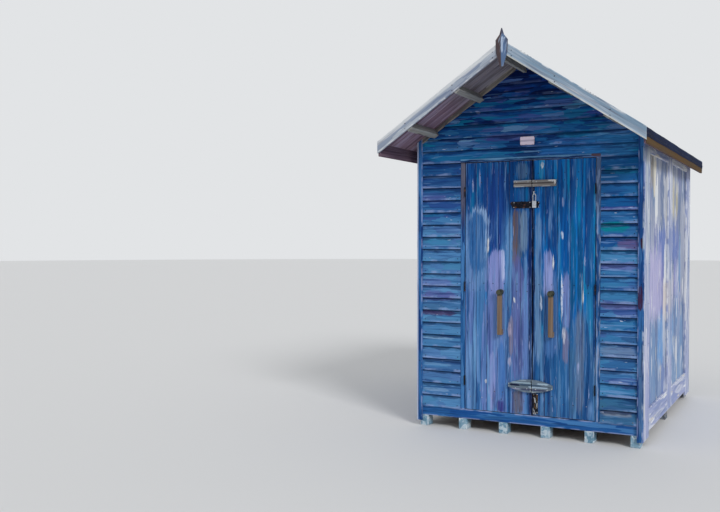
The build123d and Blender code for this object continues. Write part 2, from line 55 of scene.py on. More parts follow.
# Planes of the hut, read from the frame
GABLE_LOW, GABLE_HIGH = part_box("front_gable")
ROOF_LOW, ROOF_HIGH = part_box("roof_boards_right")
FELT_LOW, FELT_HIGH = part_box("roof_felt")
FRONT_FACE, FRONT_BACK = GABLE_LOW.y, GABLE_HIGH.y
REAR_INSIDE, REAR_FACE = (corner.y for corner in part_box("rear_wall"))
SKIN = GABLE_HIGH.x
SIDE_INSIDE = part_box("right_wall")[0].x
WALL_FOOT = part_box("front_wall_left")[0].z
DOOR_HEAD = GABLE_LOW.z
ROOF_PEAK = ROOF_HIGH.z
EAVE_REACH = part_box("eave_boards")[1].x
RIDGE_FELT_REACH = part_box("ridge_felt")[1].x

# Sizes of the boards and coverings
PITCH = radians(34)
SLOPE = tan(PITCH)
ROOF_BOARD = 0.019
CLADDING = 0.018
WEATHER_COVER, WEATHER_NOSE = 0.0989, 0.014
SIDE_BOARD_COVER = 0.1182
DOOR_BOARDS = {"left": 6, "right": 5}
FLOOR_BOARDS, SOFFIT_BOARDS = 20, 25
STILE_WIDTH = 0.220
LEDGES = (0.300, 1.154, 2.008)
RIDGE_AND_PURLINS = (0.07, 0.382, 0.764)
JOISTS = (-0.8415, -0.5049, -0.1683, 0.1683, 0.5049, 0.8415)
UPPER_BAR, LOWER_BAR = 1.972, 0.375
KNOB_FOOT = 1.085
FELT, FELT_LIFT, FELT_STEPS = 0.0034, 0.0056, 60
LAP_FROM, LAP_TO = 0.52, 0.61
LAP_RISE = 1.3 * FELT
BARGE_STAND, BARGE_DROP = 0.009, 0.076 / cos(PITCH)
SOFFIT_PEAK = ROOF_PEAK - ROOF_BOARD / cos(PITCH)
PLATE_LIMITS = (-0.031, 0.082, 2.257, 2.321)
NAIL_UP = 0.020
NO_CUT = 100.0
AHEAD, BACK, UP = (0, -1, 0), (0, 1, 0), (0, 0, 1)

# Paints, as the eye reads them, 0 to 255
NAVY, DEEP, COBALT = (4, 24, 72), (10, 50, 112), (24, 80, 148)
SKY, PALE_SKY, PALE_LILAC = (74, 130, 188), (116, 156, 208), (170, 180, 222)
WHITE, CREAM, RUST = (228, 230, 232), (218, 212, 196), (104, 58, 34)
INNER_WOOD = (168, 136, 100), (122, 92, 62), (128, 118, 108)
SOFT_EDGE = 0.009


def linear(colour):
    """A colour in linear light. A wire is left as it is."""
    if isinstance(colour, Wire):
        return colour
    shares = [level / 255 for level in colour]
    return [s / 12.92 if s <= 0.04045 else ((s + 0.055) / 1.055) ** 2.4 for s in shares] + [1.0]


def smooth(share):
    """0 to 1 without a corner."""
    share = min(1.0, max(0.0, share))
    return share * share * (3 - 2 * share)


def spaced(first, last, count):
    """Count values evenly spaced from first to last."""
    return [first + (last - first) * i / (count - 1) for i in range(count)]


class Wire:
    """A node's socket that sums can be written with."""

    def __init__(self, flow, socket):
        self.flow, self.socket = flow, socket

    def at(self, name):
        return Wire(self.flow, self.socket.node.outputs[name])

    def sum(self, operation, *others):
        return self.flow.add("ShaderNodeMath", dict(enumerate((self, *others))), operation=operation)

    __add__ = __radd__ = partialmethod(sum, "ADD")
    __mul__ = __rmul__ = partialmethod(sum, "MULTIPLY")
    __sub__ = partialmethod(sum, "SUBTRACT")
    __truediv__ = partialmethod(sum, "DIVIDE")
    least = partialmethod(sum, "MINIMUM")
    most = partialmethod(sum, "MAXIMUM")
    below = partialmethod(sum, "LESS_THAN")
    size = partialmethod(sum, "ABSOLUTE")

    def __rsub__(self, other):
        return self.flow.add("ShaderNodeMath", {0: other, 1: self}, operation="SUBTRACT")

    def rise(self, low, high):
        """0 up to low, 1 from high on, smooth between."""
        return self.flow.add("ShaderNodeMapRange", {"Value": self, "From Min": low, "From Max": high},
                             interpolation_type="SMOOTHSTEP")

    def fall(self, low, high):
        """1 up to low, 0 from high on, smooth between."""
        return 1 - self.rise(low, high)


class Flow:
    """A node tree, and one way to add any node to it."""

    def __init__(self, tree):
        self.tree = tree

    def add(self, kind, sockets=(), out=0, **settings):
        node = self.tree.nodes.new(kind)
        for name, value in settings.items():
            setattr(node, name, value)
        for key, value in dict(sockets).items():
            if isinstance(value, Wire):
                self.tree.links.new(value.socket, node.inputs[key])
            else:
                node.inputs[key].default_value = value
        return Wire(self, node.outputs[out])

    def end(self, kind, wire):
        """Joins a wire to the node that the tree ends in."""
        self.tree.links.new(wire.socket, self.tree.nodes.new(kind).inputs[0])

    def vector(self, operation, *values, out=0):
        return self.add("ShaderNodeVectorMath", dict(enumerate(values)), out, operation=operation)

    def xyz(self, **parts):
        return self.add("ShaderNodeCombineXYZ", parts)

    def geometry(self, kind, sockets=(), out=0, **settings):
        return self.add("GeometryNode" + kind, sockets, out, **settings)

    def split(self, vector):
        parts = self.add("ShaderNodeSeparateXYZ", {0: vector})
        return parts, parts.at("Y"), parts.at("Z")

    def noise(self, point, detail, out=0, scale=1.0, **more):
        sockets = {"Vector": point, "Scale": scale, "Detail": detail, **more}
        return self.add("ShaderNodeTexNoise", sockets, out, noise_dimensions="4D" if "W" in more else "3D")

    def chance(self, low, high, seed):
        return self.add("FunctionNodeRandomValue", {2: low, 3: high, "Seed": seed}, 1, data_type="FLOAT")

    def mix(self, amount, under, over):
        sockets = {0: amount, 6: linear(under), 7: linear(over)}
        return self.add("ShaderNodeMix", sockets, 2, data_type="RGBA")


def tree_with(name, kind, inputs, output):
    """A node tree with named inputs, listed by kind, and a way to take each."""
    tree = bpy.data.node_groups.new(name, kind + "NodeTree")
    titles = [(title, socket) for socket, names in inputs.items() for title in names.split()]
    for title, socket in titles:
        tree.interface.new_socket(title, in_out="INPUT", socket_type="NodeSocket" + socket)
    tree.interface.new_socket("Result", in_out="OUTPUT", socket_type="NodeSocket" + output)
    flow = Flow(tree)
    given = flow.add("NodeGroupInput")
    return flow, {title: given.at(title) for title, socket in titles}


def mark_group():
    """One painted mark with round, frayed ends, laid over a colour."""
    flow, given = tree_with("painted_mark", "Shader", {
        "Vector": "Place Middle Straight Scale", "Float": "Frayed Full Gone Cover",
        "Color": "Under Paint"}, "Color")
    away = flow.vector("ABSOLUTE", flow.vector("SUBTRACT", given["Place"], given["Middle"]))
    away = flow.vector("MAXIMUM", flow.vector("SUBTRACT", away, given["Straight"]), (0, 0, 0))
    away = flow.vector("MULTIPLY", away, given["Scale"])
    share = flow.vector("LENGTH", away, out=1) + given["Frayed"]
    cover = share.fall(given["Full"], given["Gone"]) * given["Cover"]
    flow.end("NodeGroupOutput", flow.mix(cover, given["Under"], given["Paint"]))
    return flow.tree


MARK = mark_group()


class Coat(Flow):
    """A material, with the grain, edges and lot number that each board carries, and its colour so far."""

    def __init__(self, name, boards=True):
        self.material = bpy.data.materials.new(name)
        self.material.use_nodes = True
        super().__init__(self.material.node_tree)
        self.tree.nodes.clear()
        self.place = self.add("ShaderNodeTexCoord", out=3)
        self.x, self.y, self.z = self.split(self.place)
        if boards:
            self.grain, self.half = (self.add("ShaderNodeAttribute", out=1, attribute_name=mark)
                                     for mark in ("grain", "half"))
            self.lot = self.add("ShaderNodeAttribute", out=2, attribute_name="lot")
            self.board = self.vector("MULTIPLY_ADD", self.lot, (17.3, 5.1, 9.7), self.grain)

    def along(self, long, wide, shift):
        """The place on the board, counted in marks of that size in metres."""
        size = (1 / long, 1 / wide, 1 / wide)
        return self.vector("MULTIPLY_ADD", self.board, size, (shift, 2 * shift, 3 * shift))

    def brush(self, long, wide, low, high, shift=0.0):
        """Marks of about that size that follow the board, from 0 to 1."""
        return self.noise(self.along(long, wide, shift), 3.0).rise(low, high)

    def strokes(self, long, wide, shift=0.0):
        """One number for each brush stroke of about that size."""
        return self.cells(self.along(long, wide, shift), (0.9, 0.5, 0.5))

    def cells(self, point, sway):
        """One number for each cell of a wandering pattern."""
        point = self.vector("MULTIPLY_ADD", self.noise(point, 2.0, 1, 1.7), sway, point)
        return self.split(self.add("ShaderNodeTexVoronoi", {"Vector": point, "Scale": 1.0}, 1))[0]

    def speckle(self, scale, detail):
        """Noise fixed in the hut, so many specks to the metre along x, y and z."""
        return self.noise(self.vector("MULTIPLY", self.place, scale), detail)

    def arris(self, reach):
        """1 on the edges of a board, 0 from that distance on."""
        inward = self.vector("SUBTRACT", self.half, self.vector("ABSOLUTE", self.grain))
        a, b, c = self.split(inward)
        return a.least(b).most(a.most(b).least(c)).fall(0.0, reach)

    def ramp(self, amount, stops):
        made = self.add("ShaderNodeValToRGB", {0: amount})
        elements = made.socket.node.color_ramp.elements
        while len(elements) < len(stops):
            elements.new(0.5)
        for element, (place, colour) in zip(elements, stops.items()):
            element.position, element.color = place, linear(colour)
        return made

    def three(self, amount, dark, middle, light):
        return self.ramp(amount, {0: dark, 0.45: middle, 1: light})

    def lay(self, amount, paint):
        """Lays paint over the colour so far."""
        self.colour = self.mix(amount, self.colour, paint)

    def read_marks(self, wide, high, side=False, fine=2.5, tip=0.0):
        """The place on the front or a side, made to wander a little, that painted marks are set out in."""
        flat = self.xyz(X=self.y if side else self.x, Z=self.z)
        point = self.vector("MULTIPLY", flat, (0.45 / wide, 0.0, 0.45 / high))
        wander = self.noise(point, 5.0, 1, Roughness=0.7)
        shifted = self.vector("MULTIPLY_ADD", wander, (wide, 0.0, high), flat)
        self.wandered = self.vector("SUBTRACT", shifted, (wide / 2, 0.0, high / 2))
        bristles = (fine / wide, 0.0, 0.7 / high) if high > wide else (0.7 / wide, 0.0, fine / high)
        bristle = self.noise(self.vector("MULTIPLY", flat, bristles), 3.0) - 0.5
        self.frayed = bristle * 1.6
        if tip:
            self.wandered = self.vector("ADD", self.wandered, self.xyz(Z=bristle * tip))

    def dab(self, marks, streak=1.0, blunt=0.70, corner=1.0):
        """Lays painted marks: left, right, foot, top, how opaque, and the paint."""
        for left, right, foot, top, opaque, paint in marks:
            half_x, half_z = (right - left) / 2, (top - foot) / 2
            radius = corner * min(half_x, half_z)
            straight_x, straight_z = blunt * (half_x - radius), blunt * (half_z - radius)
            soft = min(0.22, SOFT_EDGE / radius)
            self.colour = self.add("ShaderNodeGroup", {
                "Place": self.wandered, "Frayed": self.frayed, "Under": self.colour, "Paint": linear(paint),
                "Middle": ((left + right) / 2, 0.0, (foot + top) / 2),
                "Straight": (straight_x, 0.0, straight_z),
                "Scale": (1 / (half_x - straight_x), 0.0, 1 / (half_z - straight_z)),
                "Full": 0.92 - soft, "Gone": 0.92 + soft, "Cover": streak * opaque}, node_tree=MARK)

    def bare_wood(self, early, late, grey, silver=0.5):
        """Colour and relief of bare timber: fine lines along the grain, knots and silvering."""
        lines = self.brush(0.55, 0.0045, 0.35, 0.65)
        colour = self.mix(lines, late, early)
        colour = self.mix(self.brush(0.9, 0.03, 0.3, 0.7, 3.0) * silver, colour, grey)
        point = self.vector("MULTIPLY", self.board, (2.2, 11.0, 11.0))
        knot = self.add("ShaderNodeTexVoronoi", {"Vector": point, "Scale": 1.0}).fall(0.06, 0.14)
        return self.mix(knot * 0.8, colour, (58, 38, 26)), lines

    def paint_over(self, dark, pale, worn, wear=0.8, reach=0.012, shade=1.0):
        """Streaks along the grain and worn edges, and the relief of the brush."""
        self.lay(self.brush(0.45, 0.021, 0.52, 0.68) * 0.6, dark)
        self.lay(self.brush(0.30, 0.018, 0.58, 0.70, 4.0) * shade * 0.65, pale)
        self.lay(self.arris(reach) * self.brush(0.09, 0.05, 0.44, 0.60, 9.0) * wear, worn)
        return self.brush(0.22, 0.0045, 0.25, 0.75, 6.0) * 0.35 + self.brush(0.30, 0.018, 0.30, 0.70, 2.0)

    def white_over(self, wear, streaks=1.0):
        """Blue shadows, white and cream strokes and olive specks over the pale paint."""
        under = self.colour
        height = self.paint_over((112, 128, 166), (206, 212, 224), WHITE, wear)
        self.colour = self.mix(streaks, under, self.colour)
        self.lay(self.brush(0.34, 0.052, 0.62, 0.66, 16.0) * 0.90, (228, 230, 234))
        self.lay(self.brush(0.34, 0.044, 0.66, 0.70, 18.0) * 0.85, CREAM)
        self.lay(self.brush(0.10, 0.016, 0.74, 0.78, 23.0) * 0.6, (150, 140, 104))
        return height

    def joint(self, amount, paint):
        """A darker line down the joints of the boards, broken here and there."""
        across, half = self.split(self.grain)[1].size(), self.split(self.half)[1]
        line = (across - half + 0.004).rise(0.0, 0.003) * self.brush(0.5, 0.2, 0.35, 0.60, 17.0)
        self.lay(line * amount, paint)

    def bare_indoors(self):
        """Bare boards on the faces that look into the room."""
        middle = (FRONT_BACK + REAR_INSIDE) / 2
        reach = (REAR_INSIDE - FRONT_BACK) / 2 + 0.0035
        indoors = self.x.size().below(SIDE_INSIDE + 0.0015) * (self.y - middle).size().below(reach)
        self.lay(indoors, self.bare_wood(*INNER_WOOD, 0.4)[0])

    def close(self, roughness, height, depth, metallic=0.0, gloss=0.12):
        """Joins the colour, roughness and relief to the shader."""
        bump = self.add("ShaderNodeBump", {"Height": height, "Distance": depth, "Strength": 1.0})
        self.end("ShaderNodeOutputMaterial", self.add("ShaderNodeBsdfPrincipled", {
            "Base Color": self.colour, "Roughness": roughness, "Metallic": metallic,
            "Specular IOR Level": gloss, "Normal": bump}))
        return self.material


# Painted marks on the front: left, right, foot, top, how opaque, and the paint
BOARD_MARKS = [
    (0.57, 0.796, 1.582, 1.662, 1, (0, 128, 148)), (0.7, 0.88, 1.45, 1.535, 0.9, (100, 90, 140)),
    (0.6, 0.86, 2.006, 2.064, 0.8, (16, 110, 148)), (0.57, 0.86, 1.74, 1.772, 0.8, (74, 76, 150)),
    (0.57, 0.86, 1.298, 1.368, 0.75, (108, 120, 182)), (0.575, 0.86, 1.01, 1.072, 0.75, (112, 118, 178)),
    (0.58, 0.85, 0.65, 0.74, 0.75, (112, 136, 172)), (0.6, 0.82, 0.215, 0.268, 0.75, (132, 142, 160)),
    (-0.87, -0.56, 1.03, 1.11, 0.8, (96, 98, 164)), (-0.86, -0.6, 1.14, 1.21, 0.7, (104, 118, 182)),
    (-0.88, -0.56, 0.912, 0.952, 0.85, (84, 56, 100)), (-0.82, -0.6, 1.48, 1.56, 0.75, (58, 134, 178)),
    (-0.86, -0.64, 1.83, 1.89, 0.6, (84, 92, 160)), (-0.86, -0.58, 0.716, 0.74, 0.6, (140, 178, 214)),
    (-0.85, -0.62, 0.29, 0.318, 0.6, (134, 172, 210)), (-0.85, -0.6, 0.5, 0.524, 0.5, (120, 162, 206)),
]
GABLE_MARKS = [
    (-0.33, 0.06, 2.296, 2.348, 0.75, (66, 66, 140)), (0.25, 0.57, 2.29, 2.342, 0.75, (16, 104, 156)),
    (-0.75, -0.42, 2.25, 2.29, 0.5, (58, 110, 160)), (-0.06, 0.34, 2.42, 2.465, 0.6, (52, 60, 130)),
    (-0.56, -0.24, 2.4, 2.44, 0.55, (18, 86, 132)), (0.227, 0.3, 2.252, 2.274, 0.9, PALE_LILAC),
    (-0.11, 0.03, 2.64, 2.662, 0.6, (90, 94, 170)), (0.12, 0.22, 2.53, 2.55, 0.6, (96, 120, 180)),
    (-0.093, 0.016, 2.722, 2.738, 0.85, PALE_LILAC), (-0.082, 0.045, 2.662, 2.68, 0.85, (150, 162, 216)),
    (-0.168, -0.125, 2.677, 2.693, 0.75, PALE_LILAC), (-0.395, -0.365, 2.52, 2.545, 0.8, PALE_LILAC),
    (-0.8, -0.39, 2.158, 2.205, 0.6, (24, 120, 170)), (0.42, 0.86, 2.11, 2.35, 0.6, (60, 140, 204)),
    (0.1, 0.62, 2.1, 2.3, 0.6, (48, 128, 206)),
]
CORNER_MARKS = [
    (0.856, 0.893, 1.01, 1.19, 0.95, (58, 30, 58)), (0.871, 0.896, 1.46, 1.54, 0.95, (52, 28, 48)),
    (0.862, 0.899, 0.1, 0.73, 0.55, (96, 128, 166)),
]
LEFT_MARKS = [
    (-0.33, -0.15, 1.42, 2.12, 0.6, (28, 54, 132)), (-0.512, -0.28, 1.1, 1.8, 0.65, (112, 150, 200)),
    (-0.455, -0.284, 1.33, 1.79, 0.85, (150, 182, 222)),
    (-0.462, -0.308, 1.265, 1.756, 1, (48, 104, 166)), (-0.302, -0.148, 0.2, 1.46, 0.6, (112, 132, 196)),
    (-0.292, -0.156, 1.08, 1.456, 0.95, (142, 152, 214)),
    (-0.187, -0.158, 1.2, 1.45, 0.9, (184, 196, 236)), (-0.146, -0.094, 1, 1.71, 0.8, (104, 152, 202)),
    (-0.064, -0.014, 1.36, 1.77, 0.8, (84, 98, 118)), (-0.094, -0.052, 1.3, 1.78, 0.95, (104, 86, 84)),
    (-0.106, -0.004, 0.42, 1.42, 0.8, (98, 104, 164)), (-0.122, -0.088, 0.62, 0.92, 0.7, (140, 128, 146)),
    (-0.098, -0.006, 0.16, 0.36, 0.85, (104, 92, 98)), (-0.038, 0.028, 1.42, 1.76, 0.8, (116, 144, 174)),
    (-0.074, 0.026, 1.99, 2.13, 0.65, (90, 122, 158)), (-0.226, -0.15, 0.16, 0.26, 0.85, (58, 50, 132)),
    (-0.282, -0.232, 0.17, 0.64, 0.85, (150, 160, 216)),
    (-0.209, -0.152, 0.28, 0.73, 0.7, (56, 118, 190)), (-0.321, -0.299, 1, 1.12, 0.8, (36, 128, 196)),
    # The navy strip along the meeting edge is painted shade in the gap between the leaves.
    (0.034, 0.075, 0.1, 2.2, 0.95, NAVY),
]
RIGHT_MARKS = [
    (0.15, 0.275, 1.44, 1.95, 0.65, (10, 60, 124)), (0.084, 0.138, 0.55, 1.74, 0.85, (108, 146, 188)),
    (0.15, 0.275, 0.62, 1.3, 0.65, (84, 126, 188)), (0.15, 0.226, 1.08, 1.448, 0.95, (150, 162, 218)),
    (0.3, 0.358, 0.84, 1.28, 0.85, (128, 142, 202)), (0.302, 0.348, 0.58, 0.86, 0.8, (128, 124, 158)),
    (0.35, 0.4, 0.98, 1.7, 0.85, (4, 94, 144)), (0.41, 0.45, 1.05, 1.66, 0.7, (4, 84, 132)),
    (0.396, 0.468, 0.2, 1, 0.8, (106, 128, 162)), (0.476, 0.54, 0.2, 2.06, 0.55, (22, 72, 128)),
    # The navy strip at the end of this line runs down the meeting edge: painted shade in the gap between
    # the leaves.
    (0.345, 0.4, 0.2, 0.72, 0.65, (62, 104, 142)), (0.06, 0.084, 0.1, 2.2, 0.95, NAVY),
]
# White dabs on the doors: painted glints and highlights among white streaks.
WHITE_AND_GLINT_DABS = [
    (-0.306, -0.286, 1.42, 1.53, 0.85, WHITE), (-0.317, -0.3, 0.384, 0.424, 0.95, WHITE),
    (-0.086, -0.068, 1.03, 1.086, 0.95, WHITE), (-0.132, -0.1, 0.76, 0.88, 0.6, (196, 184, 208)),
    (-0.132, -0.1, 0.524, 0.612, 0.7, (196, 190, 216)), (-0.43, -0.414, 1.9, 2.01, 0.6, PALE_LILAC),
    (-0.372, -0.358, 1.95, 2.08, 0.6, PALE_LILAC), (0.286, 0.304, 0.92, 1.27, 0.95, (214, 222, 240)),
    (0.124, 0.144, 0.98, 1.1, 0.85, (200, 214, 236)), (0.128, 0.154, 2.074, 2.124, 0.95, WHITE),
    (0.221, 0.234, 1.29, 1.41, 0.9, WHITE), (0.286, 0.304, 1.534, 1.6, 0.9, (196, 212, 236)),
    (0.294, 0.31, 1.77, 1.85, 0.6, PALE_LILAC), (0.398, 0.411, 1.9, 2, 0.6, PALE_SKY),
    (0.3, 0.326, 0.74, 0.85, 0.8, (208, 212, 226)), (0.441, 0.456, 1.02, 1.263, 0.6, (176, 200, 228)),
    (0.446, 0.461, 1.04, 1.134, 0.95, WHITE), (0.46, 0.474, 1.33, 1.412, 0.75, PALE_LILAC),
    (0.414, 0.43, 0.51, 0.606, 0.7, PALE_LILAC),
]
# Marks on the bars, mostly painted light and shade: pale highlights along the edges and at the top bar's
# right end, dark painted shadow on the lower bar.
BAR_LIGHT_AND_SHADE_MARKS = [
    (-0.11, 0.24, 1.956, 1.966, 0.7, (66, 58, 62)), (0.19, 0.25, 1.974, 1.984, 0.95, (222, 222, 222)),
    (0.236, 0.25, 1.948, 1.984, 0.9, (222, 222, 222)), (-0.118, 0.12, 1.944, 1.95, 0.6, (164, 160, 158)),
    (-0.118, 0.02, 1.976, 1.985, 0.7, (148, 162, 180)),
    (-0.105, 0.03, 0.433, 0.442, 0.85, (156, 176, 190)), (-0.1, 0.07, 0.413, 0.425, 0.9, (150, 174, 190)),
    (-0.03, 0.15, 0.398, 0.41, 0.85, (52, 78, 104)), (-0.108, -0.025, 0.39, 0.408, 0.95, (18, 26, 62)),
    (0.04, 0.2, 0.384, 0.396, 0.9, (164, 186, 206)), (0.11, 0.2, 0.412, 0.424, 0.85, (172, 196, 214)),
    (-0.02, 0.19, 0.362, 0.376, 0.85, (58, 60, 92)), (-0.1, -0.02, 0.364, 0.374, 0.8, (150, 150, 178)),
]
# Painted marks on the sides: near and far end, foot, top, how opaque, and the paint
SIDE_MARKS = [
    (-0.74, -0.48, 1.94, 2.19, 0.8, (150, 142, 122)), (-0.5, -0.38, 1.86, 2.18, 0.95, CREAM),
    (-0.43, -0.29, 1.65, 2.04, 1, WHITE), (0.48, 0.58, 1.69, 2.08, 0.95, (196, 190, 166)),
    (0.66, 0.78, 1.74, 2, 0.9, (182, 176, 150)), (-0.31, 0.8, 1.34, 1.63, 0.95, (106, 126, 186)),
    (-0.67, -0.1, 0.915, 1.45, 0.9, (182, 178, 216)), (-0.03, 0.3, 0.9, 1.195, 0.95, (216, 208, 204)),
    (0.4, 0.56, 0.98, 1.24, 0.85, (206, 202, 212)), (0.04, 0.13, 1.18, 1.48, 1, WHITE),
    (0.62, 0.86, 1, 1.32, 0.7, (176, 178, 210)), (-0.27, 0, 0.545, 0.905, 0.95, (104, 154, 210)),
    (0.18, 0.54, 0.52, 0.86, 0.75, (118, 160, 208)), (0.34, 1.1, 0.12, 0.47, 0.85, (132, 160, 196)),
    (0.66, 0.78, 0.4, 0.64, 0.8, WHITE), (0.96, 1.3, 0.95, 1.9, 0.65, (182, 186, 200)),
]
STILE_MARKS = [
    (-0.97, -0.64, 1.46, 2.26, 0.65, (156, 172, 184)), (-0.97, -0.74, 0.08, 0.88, 0.6, (188, 188, 220)),
    # The two narrow white marks at the front end are painted highlights down the corner.
    (-0.97, -0.92, 0.2, 0.66, 0.85, WHITE), (-0.97, -0.94, 1.48, 1.72, 0.9, WHITE),
    (0.1, 0.38, 1.32, 1.64, 0.8, (118, 136, 190)), (0.1, 0.32, 0.89, 1.2, 0.85, (214, 206, 204)),
    (0.12, 0.17, 1.16, 1.5, 0.95, WHITE), (0.1, 0.38, 0.52, 0.88, 0.65, (128, 162, 206)),
]
# Paints of the strokes, by each stroke's number from 0 to 1
BOARD_STOPS = {
    0: DEEP, 0.14: COBALT, 0.3: (40, 110, 164), 0.5: (58, 124, 176), 0.66: (74, 138, 188),
    0.78: (60, 108, 174), 0.88: (62, 76, 148), 0.94: (12, 114, 156), 1: (104, 162, 206),
}
LOT_STOPS = {0: COBALT, 0.3: (40, 108, 164), 0.55: (72, 138, 186), 0.8: (76, 112, 174), 1: (22, 110, 154)}
GABLE_STOPS = {
    0: (0, 36, 98), 0.2: (16, 80, 150), 0.5: (38, 118, 180), 0.7: (14, 134, 178), 0.85: (70, 96, 172),
    1: (126, 180, 222),
}
# Upper gable and peak: darker strokes, painted shade under the overhang
HIGH_GABLE_STOPS = {
    0: (0, 24, 84), 0.2: (4, 66, 140), 0.5: (18, 106, 176), 0.7: (4, 122, 170), 0.85: (54, 78, 162),
    1: (102, 162, 214),
}
PEAK_STOPS = {0: (0, 8, 56), 0.3: (0, 34, 108), 0.6: (4, 68, 154), 0.85: (36, 52, 132), 1: (90, 126, 196)}
HIGH_STOPS = {
    0: (0, 46, 106), 0.3: (0, 72, 140), 0.55: (6, 92, 160), 0.75: (16, 74, 150), 0.9: (0, 104, 162),
    1: (40, 124, 188),
}
HIGH_RIGHT_STOPS = {
    0: (0, 72, 146), 0.3: (0, 104, 182), 0.55: (4, 124, 196), 0.75: (8, 106, 186), 0.9: (0, 132, 188),
    1: (60, 158, 216),
}
LOW_STOPS = {
    0: (42, 98, 162), 0.3: (72, 126, 184), 0.55: (92, 142, 198), 0.8: (102, 126, 190), 1: (108, 160, 210),
}
LOW_RIGHT_STOPS = {
    0: (14, 78, 138), 0.3: (42, 102, 160), 0.55: (60, 116, 172), 0.8: (76, 120, 174), 1: (88, 138, 182),
}
SIDE_STOPS = {
    0: (66, 92, 136), 0.25: (104, 124, 166), 0.45: (128, 132, 188), 0.65: (116, 148, 190),
    0.85: (160, 168, 196), 1: (220, 222, 226),
}
STILE_STOPS = {0: (128, 146, 186), 0.3: (158, 166, 202), 0.6: (186, 192, 210), 1: (224, 226, 230)}


def timber(name, early, late, grey, silver=0.5):
    coat = Coat(name)
    coat.colour, lines = coat.bare_wood(early, late, grey, silver)
    coat.lay(coat.arris(0.010) * coat.brush(0.10, 0.02, 0.42, 0.6, 7.0) * 0.25, WHITE)
    return coat.close(0.62 + 0.22 * lines, lines, 0.0012)


def weatherboard_paint():
    """Blue boards, greener up the gable and darker towards the peak in painted shade under the overhang,
    with a painted shadow under each lap and a painted highlight on each nose.
    """
    coat = Coat("weatherboard_paint")
    coat.read_marks(0.05, 0.012)
    stroke = coat.strokes(0.20, 0.050)
    right, left = coat.x.rise(0.0, 0.2), coat.x.fall(0.0, 0.2)
    high = coat.z.rise(DOOR_HEAD - 0.02, DOOR_HEAD + 0.06)
    coat.colour = coat.ramp(stroke, BOARD_STOPS)
    coat.lay(0.42, coat.ramp(coat.lot, LOT_STOPS))
    coat.lay(coat.z.rise(1.88, 1.98) * 0.45, (8, 64, 132))
    coat.lay(right * coat.z.rise(1.40, 1.60) * 0.55, (0, 88, 152))
    coat.lay(coat.z.fall(1.60, 1.75) * left * 0.25, (118, 168, 212))
    coat.lay(coat.z.fall(0.30, 0.42) * right * 0.50, (60, 88, 118))
    # Darker on the upper left panel: painted shade.
    coat.lay(coat.x.fall(-0.2, 0.0) * coat.z.rise(1.68, 1.80) * 0.42, (18, 64, 130))
    broken = coat.brush(0.06, 0.012, 0.30, 0.55, 27.0) * 0.35 + 0.65
    coat.dab(BOARD_MARKS, broken)
    sweep = coat.strokes(0.17, 0.030, 40.0)
    coat.lay(high * 0.85, coat.ramp(sweep, GABLE_STOPS))
    # Darker strokes high on the gable and darkest at the peak: painted shade under the overhang.
    coat.lay(coat.z.rise(2.32, 2.50) * 0.80, coat.ramp(sweep, HIGH_GABLE_STOPS))
    coat.dab(GABLE_MARKS, broken)
    coat.lay(coat.z.rise(2.56, 2.70) * 0.90, coat.ramp(sweep, PEAK_STOPS))
    height = coat.paint_over(DEEP, PALE_SKY, PALE_LILAC, 0.0, shade=1 - high * 0.6)
    across, half = coat.split(coat.grain)[1], WEATHER_COVER / 2
    ragged = coat.brush(0.13, 0.06, 0.25, 0.75, 11.0) * 0.028
    # A painted shadow under each lap, and a painted highlight along each nose below it, fewer up the gable.
    coat.lay((across + ragged).rise(half - 0.016, half - 0.002) * 0.57, NAVY)
    nose_highlight = (across + ragged * 0.6).fall(0.018 - half, 0.030 - half)
    lit = coat.brush(0.14, 0.3, 0.42, 0.58, 13.0) * (1 - high * 0.7)
    coat.lay(nose_highlight * lit * 0.55, (148, 168, 214))
    coat.lay(coat.brush(0.07, 0.014, 0.72, 0.75, 15.0) * 0.8, (196, 208, 230))
    coat.bare_indoors()
    return coat.close(0.62 + 0.2 * stroke, height + 0.8 * stroke, 0.0035)


def door_paint(side, edge, spread, high_stops, low_stops, marks):
    """Upright streaks, dark above and pale below a ragged line, with painted marks over them."""
    coat = Coat("door_paint_" + side)
    coat.read_marks(0.016, 0.07)
    stroke, fine = coat.strokes(0.60, 0.036), coat.strokes(0.36, 0.020, 5.0)
    above = (coat.z + spread * (stroke - 0.5)).rise(edge - 0.08, edge + 0.08)
    coat.colour = coat.mix(above, coat.ramp(stroke, low_stops), coat.ramp(stroke, high_stops))
    coat.lay(fine.rise(0.70, 0.95) * 0.45, SKY)
    coat.lay((1 - fine).rise(0.72, 0.95) * 0.55, DEEP)
    coat.dab(marks, coat.brush(0.34, 0.014, 0.32, 0.58, 8.0) * 0.45 + 0.55)
    height = coat.paint_over(DEEP, PALE_SKY, PALE_LILAC, 0.4, 0.005)
    coat.lay(coat.brush(0.16, 0.010, 0.67, 0.72, 12.0) * (1 - above * 0.5) * 0.7, PALE_LILAC)
    # Painted glints and highlights in white.
    coat.dab(WHITE_AND_GLINT_DABS, coat.brush(0.045, 0.006, 0.36, 0.54, 29.0) * 0.75 + 0.25, 0.0)
    coat.joint(0.65, NAVY)
    coat.bare_indoors()
    return coat.close(0.55 + 0.2 * fine, height + 0.8 * fine + 0.5 * stroke, 0.0035)


